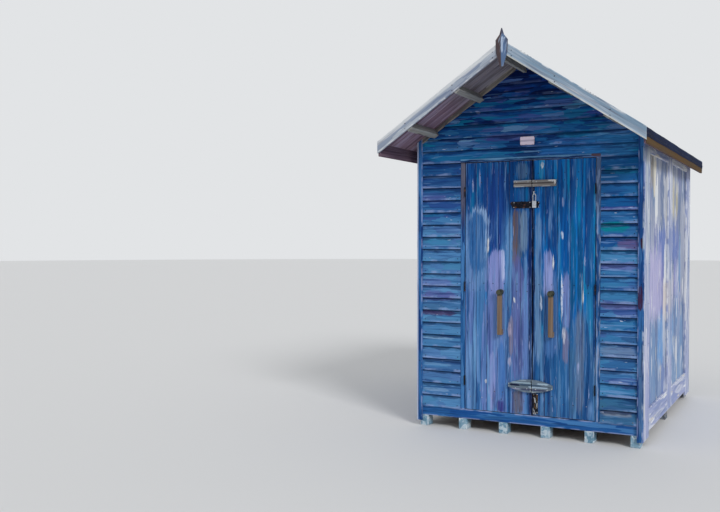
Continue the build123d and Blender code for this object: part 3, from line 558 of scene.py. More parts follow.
def side_paint():
    """White paint gone lilac and blue in upright strokes that cross the boards."""
    coat = Coat("side_paint")
    coat.read_marks(0.07, 0.16, side=True, fine=3.0, tip=0.60)
    stroke = coat.cells(coat.vector("MULTIPLY", coat.place, (3.0, 7.5, 2.1)), (0.5, 0.7, 0.9))
    coat.colour = coat.ramp(stroke, SIDE_STOPS)
    coat.lay(coat.z.rise(1.35, 1.75) * 0.50, (126, 138, 162))
    coat.lay(coat.z.fall(0.55, 1.05) * 0.50, (116, 146, 186))
    coat.dab(SIDE_MARKS, coat.brush(0.40, 0.040, 0.28, 0.48, 45.0) * 0.45 + 0.55, 1.0, 0.35)
    height = coat.white_over(0.5, 0.55)
    coat.joint(0.40, (84, 98, 138))
    coat.bare_indoors()
    return coat.close(0.60 + 0.2 * stroke, height + 0.8 * stroke, 0.0035)


def stile_paint():
    """The same paint on the cover boards, whiter and worn at the edges."""
    coat = Coat("stile_paint")
    coat.read_marks(0.02, 0.12, side=True)
    stroke = coat.strokes(0.34, 0.045)
    coat.colour = coat.ramp(stroke, STILE_STOPS)
    coat.lay(coat.z.fall(0.35, 0.85) * 0.35, (148, 158, 204))
    coat.dab(STILE_MARKS, 0.5 + 0.5 * stroke)
    height = coat.white_over(0.9)
    return coat.close(0.60 + 0.2 * stroke, height + 0.8 * stroke, 0.0030)


def trim_paint(name, stops, over, wear=0.8, extra=None, marks=None, inside=False):
    """Paint on a single trim board, its strokes along the board."""
    coat = Coat(name)
    stroke = coat.strokes(0.30, 0.030)
    coat.colour = coat.three(stroke, *stops)
    if marks:
        coat.read_marks(*marks)
    if extra:
        extra(coat)
    height = coat.paint_over(*over, wear)
    if inside:
        coat.bare_indoors()
    return coat.close(0.50 + 0.2 * stroke, height, 0.0025)


def corner_edge(coat):
    """The outer edges of the corners, where the sides' white laps round, and marks and a painted highlight
    on the right one.
    """
    coat.lay(coat.x.fall(-0.893, -0.884) * 0.9, (190, 200, 218))
    coat.dab(CORNER_MARKS, coat.brush(0.10, 0.012, 0.28, 0.46, 43.0) * 0.7 + 0.3)
    # A broken pale line down the right edge: painted highlight.
    coat.lay(coat.x.rise(0.886, 0.892) * coat.brush(0.12, 0.05, 0.46, 0.56, 41.0) * 0.8, (168, 184, 200))


def barge_sides(coat):
    """The right slope's board is greener, with a yellow-white foot, and the left one has a white top."""
    right = coat.x.rise(-0.01, 0.01)
    coat.lay(right, coat.mix(coat.brush(0.5, 0.02, 0.35, 0.65, 31.0), (124, 148, 170), (170, 184, 200)))
    across = coat.z - ROOF_PEAK + coat.x.size() * SLOPE
    coat.lay(across.fall(0.008 - BARGE_DROP, 0.024 - BARGE_DROP) * right * 0.85, (216, 212, 196))
    coat.lay(across.rise(-0.030, -0.012) * (1 - right) * 0.65, (226, 228, 228))


def finial_sides(coat):
    """Painted shade and light: brown to the left of the middle arris and pale blue to the right, with a
    painted highlight and a dark tip.
    """
    # Brown and pale blue halves: the shaded and the lit facets, painted.
    coat.colour = coat.mix(coat.x.rise(-0.003, 0.003), (88, 74, 76), (88, 112, 148))
    # Painted highlight on the right facet.
    coat.dab([(0.002, 0.014, 2.86, 2.98, 0.7, (186, 202, 224))])
    coat.lay(coat.x.size().rise(0.034, 0.040) * 0.7, (70, 62, 70))
    coat.lay(coat.z.rise(2.985, 3.01) * 0.8, (70, 66, 78))


def post_sides(coat):
    """Brown at the head of both jambs, and pale flecks down the right one."""
    right, upper = coat.x.rise(-0.1, 0.1), coat.z.rise(1.55, 1.85)
    brown = coat.mix(coat.brush(0.5, 0.02, 0.4, 0.6, 33.0), (84, 80, 98), (112, 104, 112))
    left_side = coat.mix(upper * 0.85, coat.colour, brown)
    fleck = coat.brush(0.16, 0.02, 0.48, 0.60, 34.0)
    coat.lay(fleck * 0.8, (150, 166, 198))
    coat.lay(upper * (1 - fleck) * 0.5, (96, 84, 84))
    coat.colour = coat.mix(right, left_side, coat.colour)


def rain_edge(coat):
    """A pale line along the top of the board over the doors, a painted highlight; a dark band along its
    foot, painted shadow over the doors; and a rust mark at its right end.
    """
    height = coat.z + coat.brush(0.12, 0.1, 0.2, 0.8, 35.0) * 0.012
    # Painted highlight along the top.
    coat.lay(height.rise(DOOR_HEAD + 0.016, DOOR_HEAD + 0.024) * 0.9, (116, 172, 216))
    # Painted shadow along the foot, over the doors.
    coat.lay(height.fall(DOOR_HEAD + 0.010, DOOR_HEAD + 0.018) * 0.9, (2, 20, 62))
    coat.dab([(0.510, 0.610, DOOR_HEAD - 0.004, DOOR_HEAD + 0.045, 0.85, RUST)])


def foot_paint(coat):
    """The feet behind the front row, darker: painted shade under the floor."""
    coat.lay(coat.y.rise(FRONT_FACE + 0.10, FRONT_FACE + 0.30) * 0.75, (82, 66, 66))


def soffit_stain():
    """Plum-brown stain under the overhang, lilac low down and grey-brown near the ridge."""
    coat = Coat("soffit_stain")
    stroke = coat.strokes(0.5, 0.05)
    coat.colour = coat.three(stroke, (120, 94, 108), (146, 120, 136), (172, 154, 176))
    coat.lay(coat.z.rise(2.50, 2.74), coat.three(stroke, (112, 106, 112), (140, 134, 142), (166, 162, 170)))
    height = coat.paint_over((62, 48, 56), (136, 116, 122), (148, 132, 134), 0.6)
    coat.bare_indoors()
    return coat.close(0.66 + 0.1 * stroke, height, 0.0018)


def eave_timber():
    """Ochre-brown bare wood on the outer face, plum stain within."""
    coat = Coat("eave_timber")
    bare, lines = coat.bare_wood((102, 74, 32), (66, 44, 16), (62, 54, 42))
    coat.colour = coat.three(lines, (78, 60, 74), (104, 84, 98), (128, 108, 120))
    coat.lay(coat.x.size().rise(EAVE_REACH - 0.006, EAVE_REACH - 0.003), bare)
    return coat.close(0.62 + 0.22 * lines, lines, 0.0012)


def felt_finish():
    """Navy-black mineral felt with pale grit, and pale bands along the laps, dust and a painted highlight
    on their edges.
    """
    coat = Coat("mineral_felt", False)
    broad, grit = coat.speckle((3, 2, 3), 3), coat.speckle((420, 420, 420), 1)
    coat.colour = coat.ramp(broad, {0.25: (3, 14, 40), 0.5: (8, 24, 58), 0.8: (20, 38, 72)})
    coat.lay(grit.rise(0.60, 0.76) * 0.35, (70, 84, 118))
    coat.lay(coat.speckle((1.5, 14, 1.5), 3).rise(0.58, 0.78) * 0.28, (64, 70, 90))
    # Pale along the lap edges: dust and painted highlight.
    for edge in (LAP_TO, RIDGE_FELT_REACH):
        coat.lay((coat.x.size() - edge + 0.006 * broad).size().fall(0.004, 0.012) * 0.5, (98, 104, 126))
    coat.lay(coat.speckle((9, 9, 9), 4).rise(0.66, 0.74) * 0.35, (70, 76, 58))
    return coat.close(0.80 + 0.15 * broad, grit * 0.6 + broad, 0.0016)


def iron_finish():
    """Black iron with rust coming through, and low down white specks, a painted glint, and ochre specks."""
    coat = Coat("black_iron", False)
    rough = coat.speckle((160, 160, 160), 3)
    rusty = coat.speckle((34, 34, 34), 4).rise(0.58, 0.72)
    coat.colour = coat.mix(rough.rise(0.3, 0.7), (22, 22, 28), (44, 44, 54))
    coat.lay(rusty * 0.75, coat.mix(rough, RUST, (140, 84, 44)))
    low, glint_and_ochre_spots = coat.z.fall(0.30, 0.36), coat.speckle((70, 70, 24), 2)
    # White specks low down: a painted glint on the bolt; ochre specks between them.
    coat.lay(low * glint_and_ochre_spots.rise(0.56, 0.62) * 0.85, (196, 198, 200))
    coat.lay(low * (1 - glint_and_ochre_spots).rise(0.58, 0.64) * 0.85, (128, 100, 62))
    return coat.close(0.42 + 0.4 * rusty, rough, 0.0006, 0.85 - 0.8 * rusty, 0.5)


def steel_finish():
    """Bright steel, brushed and dulled, with a little tarnish."""
    coat = Coat("bright_steel", False)
    rough = coat.speckle((30, 30, 300), 3)
    stain = coat.speckle((60, 60, 60), 3).rise(0.52, 0.66)
    coat.colour = coat.mix(rough, (150, 156, 166), (226, 230, 236))
    coat.lay(stain * 0.5, (110, 100, 96))
    return coat.close(0.30 + 0.3 * rough, rough, 0.0004, 0.75 - 0.5 * stain, 0.5)


def plate_enamel():
    """Pinkish white enamel with a grey line worn across the middle and chipped edges."""
    coat = Coat("plate_enamel", False)
    left, right, foot, top = PLATE_LIMITS
    streak = coat.speckle((18, 1, 160), 3)
    coat.colour = coat.mix(streak, (246, 234, 246), (222, 204, 232))
    up = coat.z - (foot + top) / 2
    coat.lay((up + 0.008 * streak - 0.004).size().fall(0.004, 0.010) * 0.55, (150, 140, 176))
    half_x, half_z = (right - left) / 2, (top - foot) / 2
    edge = (coat.x - (left + right) / 2).size().rise(half_x - 0.008, half_x).most(
        up.size().rise(half_z - 0.008, half_z))
    chip = coat.speckle((90, 90, 90), 2).rise(0.50, 0.60)
    coat.lay(edge * chip * 0.7, (96, 78, 96))
    return coat.close(0.30 + 0.25 * streak, streak, 0.0004, 0.0, 0.5)


def handle_wood():
    """Ochre strip with pale edges, a painted highlight, under a dark olive knob."""
    coat = Coat("handle_wood")
    coat.colour, lines = coat.bare_wood((140, 116, 92), (106, 84, 66), (126, 118, 114), 0.6)
    knob = coat.z.rise(KNOB_FOOT, KNOB_FOOT + 0.010)
    coat.lay(knob, coat.mix(coat.brush(0.03, 0.02, 0.4, 0.6, 3.0), (46, 50, 44), (78, 80, 66)))
    # Pale edges: painted highlight.
    coat.lay(coat.arris(0.006) * (1 - knob) * 0.5, (190, 180, 176))
    return coat.close(0.5 + 0.2 * lines, lines, 0.0008)


def bar_wood():
    """Grey-brown bars with brushed lines, white edges that are wear and painted highlight, and marks of
    painted light and shade.
    """
    coat = Coat("bar_wood")
    coat.read_marks(0.012, 0.004)
    coat.colour, lines = coat.bare_wood((142, 142, 140), (104, 100, 98), (112, 126, 132), 0.6)
    coat.lay(coat.z.rise(1.0, 1.2) * 0.55, (140, 132, 130))
    coat.lay(coat.z.fall(1.0, 1.2) * 0.60, (92, 118, 142))
    # White edges: wear and painted highlight.
    coat.lay(coat.arris(0.008) * coat.brush(0.07, 0.05, 0.42, 0.56, 5.0) * 0.8, (206, 214, 216))
    coat.dab(BAR_LIGHT_AND_SHADE_MARKS)
    return coat.close(0.6 + 0.2 * lines, lines, 0.0012)


BLUES = NAVY, SKY, PALE_LILAC
finishes = {
    "weatherboard": weatherboard_paint(),
    "door_left": door_paint("left", 1.50, 0.75, HIGH_STOPS, LOW_STOPS, LEFT_MARKS),
    "door_right": door_paint("right", 1.05, 0.60, HIGH_RIGHT_STOPS, LOW_RIGHT_STOPS, RIGHT_MARKS),
    "side": side_paint(),
    "stile": stile_paint(),
    "blue_trim": trim_paint("blue_trim", (COBALT, (40, 96, 156), SKY), BLUES, inside=True),
    "corner": trim_paint("corner_paint", (DEEP, (30, 84, 146), (52, 108, 168)), BLUES, 0.6,
                         corner_edge, (0.008, 0.06)),
    "rain": trim_paint("rain_board_paint", (DEEP, COBALT, (40, 100, 140)), (NAVY, SKY, PALE_SKY), 0.5,
                       rain_edge, (0.01, 0.01)),
    "post": trim_paint("post_paint", (DEEP, (42, 102, 162), SKY), BLUES, 0.6, post_sides, inside=True),
    "barge": trim_paint("barge_paint", ((126, 138, 162), (156, 166, 182), (192, 200, 208)),
                        ((118, 124, 142), (214, 216, 220), WHITE), 0.9, barge_sides),
    "finial": trim_paint("finial_paint", ((92, 78, 74), (132, 138, 142), SKY),
                         ((70, 70, 84), (170, 186, 208), WHITE), 0.4, finial_sides, (0.004, 0.01)),
    "fillet": trim_paint("fillet_paint", ((84, 82, 86), (118, 112, 110), (140, 136, 130)),
                         ((50, 56, 72), (160, 152, 142), (178, 168, 154)), 0.7),
    "foot": trim_paint("foot_paint", ((96, 136, 160), (132, 166, 186), (192, 208, 218)),
                       ((92, 128, 154), (200, 212, 222), WHITE), 0.6, foot_paint),
    "soffit": soffit_stain(),
    "eave": eave_timber(),
    "purlin": timber("purlin_timber", (168, 166, 160), (126, 122, 120), (146, 152, 150), 0.6),
    "inner": timber("inner_timber", *INNER_WOOD, 0.4),
    "under": timber("underfloor_timber", (96, 74, 70), (66, 46, 48), (84, 74, 74)),
    "floor": timber("floor_timber", (150, 122, 92), (108, 84, 60), (132, 122, 112), 0.7),
    "bar": bar_wood(),
    "handle": handle_wood(),
    "felt": felt_finish(),
    "iron": iron_finish(),
    "steel": steel_finish(),
    "plate": plate_enamel(),
}

# The record's slot that each finish goes with
SLOTS = {finish: slot for slot, names in {
    "bare_timber": "foot under inner", "blue_paint": "weatherboard blue_trim corner rain post",
    "white_paint": "side stile", "door_paint": "door_left door_right",
    "soffit_paint": "fillet soffit eave purlin", "grey_white_paint": "barge", "grey_blue_paint": "finial",
    "floor_timber": "floor", "bar_timber": "bar", "grip_timber": "handle", "felt": "felt", "iron": "iron",
    "steel": "steel plate"}.items() for finish in names.split()}


def mesh_of(bm, name):
    mesh = bpy.data.meshes.new(name)
    bm.to_mesh(mesh)
    bm.free()
    return mesh


def linked(name, data):
    """A new object in the scene."""
    thing = bpy.data.objects.new(name, data)
    bpy.context.scene.collection.objects.link(thing)
    return thing


def set_vectors(mesh, name, values):
    layer = mesh.attributes.new(name, "FLOAT_VECTOR", "POINT")
    layer.data.foreach_set("vector", [part for value in values for part in value])


def board_data(places):
    """Each point's place from the middle of its board, and the board's half sizes."""
    limits = [(min(column), max(column)) for column in zip(*places)]
    middle = [(low + high) / 2 for low, high in limits]
    half = [(high - low) / 2 for low, high in limits]
    return [[p - m for p, m in zip(place, middle)] for place in places], half


def board_axes(edges):
    """Directions along, across and through a solid, from its longest edges."""
    spans = sorted((e.verts[1].co - e.verts[0].co for e in edges), key=lambda s: -s.length)
    along = spans[0].normalized()
    across = next((s for s in spans if abs(s.normalized().dot(along)) < 0.2), along.orthogonal())
    across = (across - along * across.dot(along)).normalized()
    return along, across, along.cross(across)


def solids_of(bm):
    """The separate solids of a mesh, each a list of its vertices."""
    seen, found = set(), []
    for start in bm.verts:
        if start in seen:
            continue
        solid, waiting = [], [start]
        seen.add(start)
        while waiting:
            vertex = waiting.pop()
            solid.append(vertex)
            for edge in vertex.link_edges:
                other = edge.other_vert(vertex)
                if other not in seen:
                    seen.add(other)
                    waiting.append(other)
        found.append(solid)
    return found


def eased_copy(node, ease, seed):
    """A mesh of a frame node with its arrises eased and each timber's grain marked."""
    bm = bmesh.new()
    bm.from_mesh(frame["nodes"][node].data)
    bmesh.ops.remove_doubles(bm, verts=bm.verts, dist=0.00001)
    bmesh.ops.dissolve_limit(bm, angle_limit=radians(1), verts=bm.verts, edges=bm.edges)
    sharp = [e for e in bm.edges if e.is_manifold and e.calc_face_angle() > radians(35)]
    bmesh.ops.bevel(bm, geom=sharp, offset=ease, segments=2, profile=0.5, affect="EDGES",
                    clamp_overlap=True)
    bm.verts.index_update()
    chance = random.Random(seed)
    grain, half, lot = ([None] * len(bm.verts) for _ in range(3))
    for solid in solids_of(bm):
        edges = {e for v in solid for e in v.link_edges}
        axes = board_axes(sorted(edges, key=lambda e: (e.verts[0].index, e.verts[1].index)))
        places, size = board_data([[v.co.dot(axis) for axis in axes] for v in solid])
        number = chance.random()
        for vertex, place in zip(solid, places):
            grain[vertex.index], half[vertex.index], lot[vertex.index] = place, size, number
    mesh = mesh_of(bm, node)
    set_vectors(mesh, "grain", grain)
    set_vectors(mesh, "half", half)
    mesh.attributes.new("lot", "FLOAT", "POINT").data.foreach_set("value", lot)
    return mesh


def place_piece(name, mesh, finish, nodes=(), body="hut"):
    """Puts a finished mesh on its body, in the stead of the frame nodes named."""
    mesh.name = name
    mesh.materials.clear()
    mesh.materials.append(finishes[finish])
    piece = linked(name, mesh)
    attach(piece, body)
    if nodes:
        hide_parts(*nodes)


# Timbers that keep the frame's shape: node, ease in metres, finish
TIMBERS = [
    ("feet", 0.004, "foot"), ("floor_joists", 0.003, "under"), ("sill_boards", 0.003, "blue_trim"),
    ("wall_studs", 0.002, "inner"), ("wall_plates", 0.002, "inner"), ("door_posts", 0.002, "post"),
    ("head_rails", 0.002, "inner"), ("gable_rafters", 0.002, "inner"), ("rain_board", 0.003, "rain"),
    ("side_stiles", 0.003, "stile"), ("side_rails", 0.003, "stile"), ("corner_boards", 0.003, "corner"),
    ("gable_fillets", 0.002, "fillet"), ("ridge_board", 0.002, "purlin"), ("purlins", 0.002, "purlin"),
    ("front_bargeboards", 0.003, "barge"), ("rear_bargeboards", 0.003, "barge"),
    ("finial", 0.001, "finial"), ("eave_boards", 0.002, "eave"),
]
TIMBERS += [("door_" + side + part, ease, finish) for side in DOOR_BOARDS for part, ease, finish in (
    ("_ledges", 0.003, "inner"), ("_bars", 0.002, "bar"), ("_handle", 0.001, "handle"))]
IRONWORK = {
    "iron": ("frame_hinges", "door_left_hinges", "door_right_hinges", "pad_bolt", "bolt_keep", "drop_bolt"),
    "steel": ("lock_staple", "padlock"),
}

for number, (node, ease, finish) in enumerate(TIMBERS):
    mesh = eased_copy(node, ease, number)
    if "bargeboards" in node:
        mesh.transform(Matrix.Translation((0, 0, BARGE_STAND)))
    place_piece("finished_" + node, mesh, finish, (node,), body_of[node])
for finish, nodes in IRONWORK.items():
    for node in nodes:
        for place in frame["nodes"][node].material_slots:
            place.material = finishes[finish]


def skin(bm, rings, closed=True):
    """Faces between rings of points, or between open rows."""
    made = [[bm.verts.new(point) for point in ring] for ring in rings]
    for ring, after in zip(made, made[1:]):
        for j in range(len(ring) if closed else len(ring) - 1):
            k = (j + 1) % len(ring)
            bm.faces.new((ring[j], ring[k], after[k], after[j]))
    return made


def close_fan(bm, ring, point):
    """Faces from a ring to one point."""
    centre = bm.verts.new(point)
    for i, vertex in enumerate(ring):
        bm.faces.new((vertex, ring[(i + 1) % len(ring)], centre))


def blank(section, length, step=0.06):
    """A straight board along x, its section given in y and z, with its grain marked."""
    bm = bmesh.new()
    steps = max(1, round(length / step))
    rings = skin(bm, [[(length * (i / steps - 0.5), y, z) for y, z in section] for i in range(steps + 1)])
    bm.faces.new(rings[0])
    bm.faces.new(rings[-1])
    bmesh.ops.recalc_face_normals(bm, faces=bm.faces)
    mesh = mesh_of(bm, "blank")
    grain, half = board_data([(v.co.x, v.co.z, v.co.y) for v in mesh.vertices])
    set_vectors(mesh, "grain", grain)
    set_vectors(mesh, "half", [half] * len(grain))
    return linked("blank", mesh)


def feather_section(cover, thickness, nose):
    """A weatherboard's section: thick at the foot, thin at the top, with a check behind the lap."""
    return [(thickness, 0.0), (thickness, cover - 0.0004), (0.006, cover - 0.0004), (0.006, cover - 0.008),
            (-0.001, cover - 0.009), (-0.25 * nose, 0.6 * cover), (-0.9 * nose, 0.008), (-nose, 0.004),
            (-0.9 * nose, 0.0), (0.0, 0.0)]


def matched_section(cover, thickness, chamfer, gap=0.0012):
    """A matchboard's section, with both edges chamfered on both faces."""
    foot, head = gap / 2, cover - gap / 2
    return [(thickness - chamfer, foot), (thickness, foot + chamfer), (thickness, head - chamfer),
            (thickness - chamfer, head), (chamfer, head), (0.0, head - chamfer), (0.0, foot + chamfer),
            (chamfer, foot)]


def boards_tree():
    """Lays a blank again and again up z, each a little askew, bows them and cuts their ends to a gable."""
    flow, given = tree_with("laid_boards", "Geometry", {
        "Object": "Blank", "Int": "Count Seed", "Float": "Cover Askew Bow Peak Slope Reach",
        "Material": "Finish"}, "Geometry")
    step = flow.xyz(Z=given["Cover"])
    line = flow.geometry("MeshLine", {"Count": given["Count"], "Offset": step})
    shape = flow.geometry("ObjectInfo", {"Object": given["Blank"]}, "Geometry")
    askew = flow.xyz(Y=flow.chance(-1.0 * given["Askew"], given["Askew"], given["Seed"]))
    laid = flow.geometry("InstanceOnPoints", {"Points": line, "Instance": shape, "Rotation": askew})
    lot = flow.chance(0.0, 1.0, given["Seed"] + 1)
    laid = flow.geometry("StoreNamedAttribute", {"Geometry": laid, "Name": "lot", "Value": lot},
                         data_type="FLOAT", domain="INSTANCE")
    boards = flow.geometry("RealizeInstances", {0: laid})
    place = flow.geometry("InputPosition")
    own = flow.geometry("InputNamedAttribute", {"Name": "lot"}, data_type="FLOAT")
    point = flow.vector("MULTIPLY", place, (1.6, 0.0, 0.0))
    bow = (flow.noise(point, 1.0, W=own * 60.0) - 0.5) * 2 * given["Bow"]
    sag = (flow.noise(point, 1.0, W=own * 60.0 + 9.0) - 0.5) * given["Bow"]
    boards = flow.geometry("SetPosition", {"Geometry": boards, "Offset": flow.xyz(Y=bow, Z=sag)})
    x, y, z = flow.split(place)
    limit = ((given["Peak"] - z) / given["Slope"]).least(given["Reach"])
    cut = flow.xyz(X=x.least(limit).most(-1.0 * limit), Y=y, Z=z)
    boards = flow.geometry("SetPosition", {"Geometry": boards, "Position": cut})
    boards = flow.geometry("MergeByDistance", {"Geometry": boards, "Distance": 0.00002})
    boards = flow.geometry("SetMaterial", {"Geometry": boards, "Material": given["Finish"]})
    flow.end("NodeGroupOutput", boards)
    return flow.tree


def fixings_tree():
    """Sets a head on each point of a mesh, turned to face as the point says."""
    flow, given = tree_with("set_fixings", "Geometry", {
        "Geometry": "Points", "Object": "Head", "Int": "Seed", "Material": "Finish"}, "Geometry")
    facing = flow.geometry("InputNamedAttribute", {"Name": "facing"}, data_type="FLOAT_VECTOR")
    way = flow.add("FunctionNodeAlignRotationToVector", {"Vector": facing}, axis="Z")
    shape = flow.geometry("ObjectInfo", {"Object": given["Head"]}, "Geometry")
    heads = flow.geometry("InstanceOnPoints", {
        "Points": given["Points"], "Instance": shape, "Rotation": way,
        "Scale": flow.chance(0.85, 1.15, given["Seed"])})
    heads = flow.geometry("RealizeInstances", {0: heads})
    heads = flow.geometry("SetMaterial", {"Geometry": heads, "Material": given["Finish"]})
    flow.end("NodeGroupOutput", heads)
    return flow.tree


BOARDS, FIXINGS = boards_tree(), fixings_tree()


def grown(tree, mesh, inputs):
    """The plain mesh that a tree makes from its named inputs."""
    host = linked("host", mesh)
    modifier = host.modifiers.new("tree", "NODES")
    modifier.node_group = tree
    for socket in tree.interface.items_tree:
        if socket.name in inputs:
            modifier[socket.identifier] = inputs[socket.name]
    depsgraph = bpy.context.evaluated_depsgraph_get()
    made = bpy.data.meshes.new_from_object(
        host.evaluated_get(depsgraph), preserve_all_data_layers=True, depsgraph=depsgraph)
    bpy.data.objects.remove(host)
    return made


def turned(x_axis, y_axis, z_axis, origin):
    """The matrix that takes a board's along, through and across directions to the hut's."""
    rows = [(x_axis[i], y_axis[i], z_axis[i], origin[i]) for i in range(3)]
    return Matrix(rows + [(0.0, 0.0, 0.0, 1.0)])


def lay_boards(name, node, finish, section, length, count, cover, turn, seed, askew, bow,
               peak=NO_CUT, reach=NO_CUT):
    """Boards laid side by side in the stead of a node, turned to their place by a matrix."""
    board = blank(section, length)
    made = grown(BOARDS, bpy.data.meshes.new("boards"), {
        "Blank": board, "Count": count, "Cover": cover, "Askew": askew, "Bow": bow, "Peak": peak,
        "Slope": SLOPE, "Reach": reach, "Seed": seed, "Finish": finishes[finish]})
    bpy.data.objects.remove(board)
    made.transform(turn)
    place_piece(name, made, finish, (node,), body_of[node])


def weatherboards():
    """The lapped boards of the front and the rear."""
    section = feather_section(WEATHER_COVER, CLADDING, WEATHER_NOSE)
    for side, seed in (("left", 3), ("right", 4)):
        node = "front_wall_" + side
        low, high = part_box(node)
        count = round((high.z - low.z) / WEATHER_COVER)
        turn = turned((1, 0, 0), BACK, UP, ((low.x + high.x) / 2, FRONT_FACE, low.z))
        lay_boards("weatherboards_" + side, node, "weatherboard", section, high.x - low.x,
                   count, WEATHER_COVER, turn, seed, 0.0018, 0.0012)
    for name, node, way, face, foot, seed in (("gable", "front_gable", 1, FRONT_FACE, DOOR_HEAD, 5),
                                              ("rear", "rear_wall", -1, REAR_FACE, WALL_FOOT, 6)):
        peak = SOFFIT_PEAK - foot
        turn = turned((way, 0, 0), (0, way, 0), UP, (0, face, foot))
        lay_boards("weatherboards_" + name, node, "weatherboard", section, 2 * SKIN,
                   ceil(peak / WEATHER_COVER), WEATHER_COVER, turn, seed, 0.0010, 0.0012,
                   peak - 0.001, SKIN)


def side_boards():
    """The upright boards of both side walls."""
    section = matched_section(SIDE_BOARD_COVER, CLADDING, 0.004)
    for node, out, seed in (("right_wall", 1, 7), ("left_wall", -1, 8)):
        low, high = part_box(node)
        count = round((high.y - low.y) / SIDE_BOARD_COVER)
        origin = (out * SKIN, high.y if out > 0 else low.y, (low.z + high.z) / 2 - 0.003)
        turn = turned(UP, (-out, 0, 0), (0, -out, 0), origin)
        lay_boards("side_boards_" + node, node, "side", section, high.z - low.z - 0.006,
                   count, SIDE_BOARD_COVER, turn, seed, 0.0006, 0.0006)


def door_boards():
    """The upright boards of both doors."""
    for side, count in DOOR_BOARDS.items():
        node = "door_" + side
        low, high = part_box(node)
        cover = (high.x - low.x) / count
        section = matched_section(cover, high.y - low.y, 0.0028, 0.0008)
        turn = turned(UP, BACK, (-1, 0, 0), (high.x, low.y, (low.z + high.z) / 2))
        lay_boards("door_boards_" + side, node, node, section, high.z - low.z - 0.002,
                   count, cover, turn, 9 + count, 0.0, 0.0004)


def floor_boards():
    """The boards of the floor, laid across the joists."""
    low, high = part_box("floor")
    cover = (high.y - low.y) / FLOOR_BOARDS
    section = matched_section(cover, high.z - low.z, 0.0015)
    turn = turned((1, 0, 0), (0, 0, -1), BACK, (0, low.y, high.z))
    lay_boards("floor_boards", "floor", "floor", section, high.x - low.x,
               FLOOR_BOARDS, cover, turn, 21, 0.0003, 0.0003)


def soffit_boards():
    """The roof boards, run up each slope from eave to ridge."""
    length = (ROOF_HIGH.x - 0.004) / cos(PITCH)
    cover = (ROOF_HIGH.y - ROOF_LOW.y) / SOFFIT_BOARDS
    section = matched_section(cover, ROOF_BOARD, 0.003)
    for side, out, seed in (("left", -1, 22), ("right", 1, 23)):
        down = Vector((out * cos(PITCH), 0, -sin(PITCH)))
        inward = Vector((-out * sin(PITCH), 0, -cos(PITCH)))
        across = down.cross(inward)
        start = ROOF_LOW.y if across.y > 0 else ROOF_HIGH.y
        origin = Vector((0, start, SOFFIT_PEAK)) + down * (length / 2) - inward * ROOF_BOARD
        lay_boards("soffit_boards_" + side, "roof_boards_" + side, "soffit", section, length,
                   SOFFIT_BOARDS, cover, turned(down, inward, across, origin), seed, 0.0005, 0.0004)


def felt_dip(y):
    """How far the felt is drawn down towards the backs of the bargeboards."""
    inward = min(y - FELT_LOW.y, FELT_HIGH.y - y)
    return 0.004 * (1 - smooth((inward - 0.022) / 0.07))


def felt_sheet(bm, line, chance):
    """One length of felt over a line of x, z and lift, a little rippled along the roof."""
    phase = [chance.uniform(0, 6.28) for _ in range(4)]
    rows = []
    for i, y in enumerate(spaced(FELT_LOW.y + 0.020, FELT_HIGH.y - 0.020, FELT_STEPS + 1)):
        row = []
        for x, z, lift in line:
            ripple = 0.0009 * (sin(5.1 * y + 3.0 * x + phase[0]) + sin(11.3 * y - 7.0 * x + phase[1]))
            edge = 0.0014 * sin(9.0 * x + phase[2]) if i in (0, FELT_STEPS) else 0.0
            row.append((x, y + edge, z + lift + ripple - felt_dip(y) + FELT_LIFT))
        rows.append(row)
    skin(bm, rows, closed=False)


def roof_covering():
    """Two courses of felt on each slope and a strip over the ridge."""
    chance = random.Random(31)
    bm = bmesh.new()
    for out in (-1, 1):
        lower = [(out * x, ROOF_PEAK - x * SLOPE, 0.0) for x in spaced(LAP_FROM, EAVE_REACH + 0.0005, 12)]
        edge, turn = out * (FELT_HIGH.x - 0.0015), lower[-1][1] - 0.006
        lower += [(edge, turn, 0.0)] + [(edge, z, 0.0) for z in spaced(turn - 0.01, FELT_LOW.z, 5)]
        upper = [(out * x, ROOF_PEAK - x * SLOPE, LAP_RISE * smooth((x - LAP_FROM + 0.04) / 0.04))
                 for x in spaced(0.0, LAP_TO, 22)]
        felt_sheet(bm, lower, chance)
        felt_sheet(bm, upper, chance)
    cap = [(x, ROOF_PEAK - abs(x) * SLOPE, FELT * 1.2)
           for x in spaced(-RIDGE_FELT_REACH, RIDGE_FELT_REACH, 12)]
    felt_sheet(bm, cap, chance)
    bmesh.ops.recalc_face_normals(bm, faces=bm.faces)
    for face in bm.faces:
        if face.normal.z < -0.1:
            face.normal_flip()
    bmesh.ops.solidify(bm, geom=bm.faces[:], thickness=FELT)
    bmesh.ops.recalc_face_normals(bm, faces=bm.faces)
    place_piece("roof_covering", mesh_of(bm, "roof_covering"), "felt", ("roof_felt", "ridge_felt"))


def head_shape(radius, rise, sides=10):
    """A domed head with its middle at the origin, facing +Z."""
    bm = bmesh.new()
    rings = skin(bm, [[(radius * share * cos(tau * i / sides),
                        radius * share * sin(tau * i / sides), rise * height) for i in range(sides)]
                      for share, height in ((1.0, -0.3), (1.0, 0.25), (0.72, 0.8))])
    bm.faces.new(rings[0][::-1])
    close_fan(bm, rings[-1], (0, 0, rise))
    return linked("head", mesh_of(bm, "head"))


def set_fixings(name, places, radius, rise, seed, body="hut", metal="iron"):
    """Heads of one size at a list of places, each with the way that it faces."""
    mesh = bpy.data.meshes.new(name)
    mesh.from_pydata([point for point, facing in places], [], [])
    set_vectors(mesh, "facing", [facing for point, facing in places])
    head = head_shape(radius, rise)
    made = grown(FIXINGS, mesh, {"Head": head, "Seed": seed, "Finish": finishes[metal]})
    bpy.data.objects.remove(head)
    place_piece(name, made, metal, (), body)


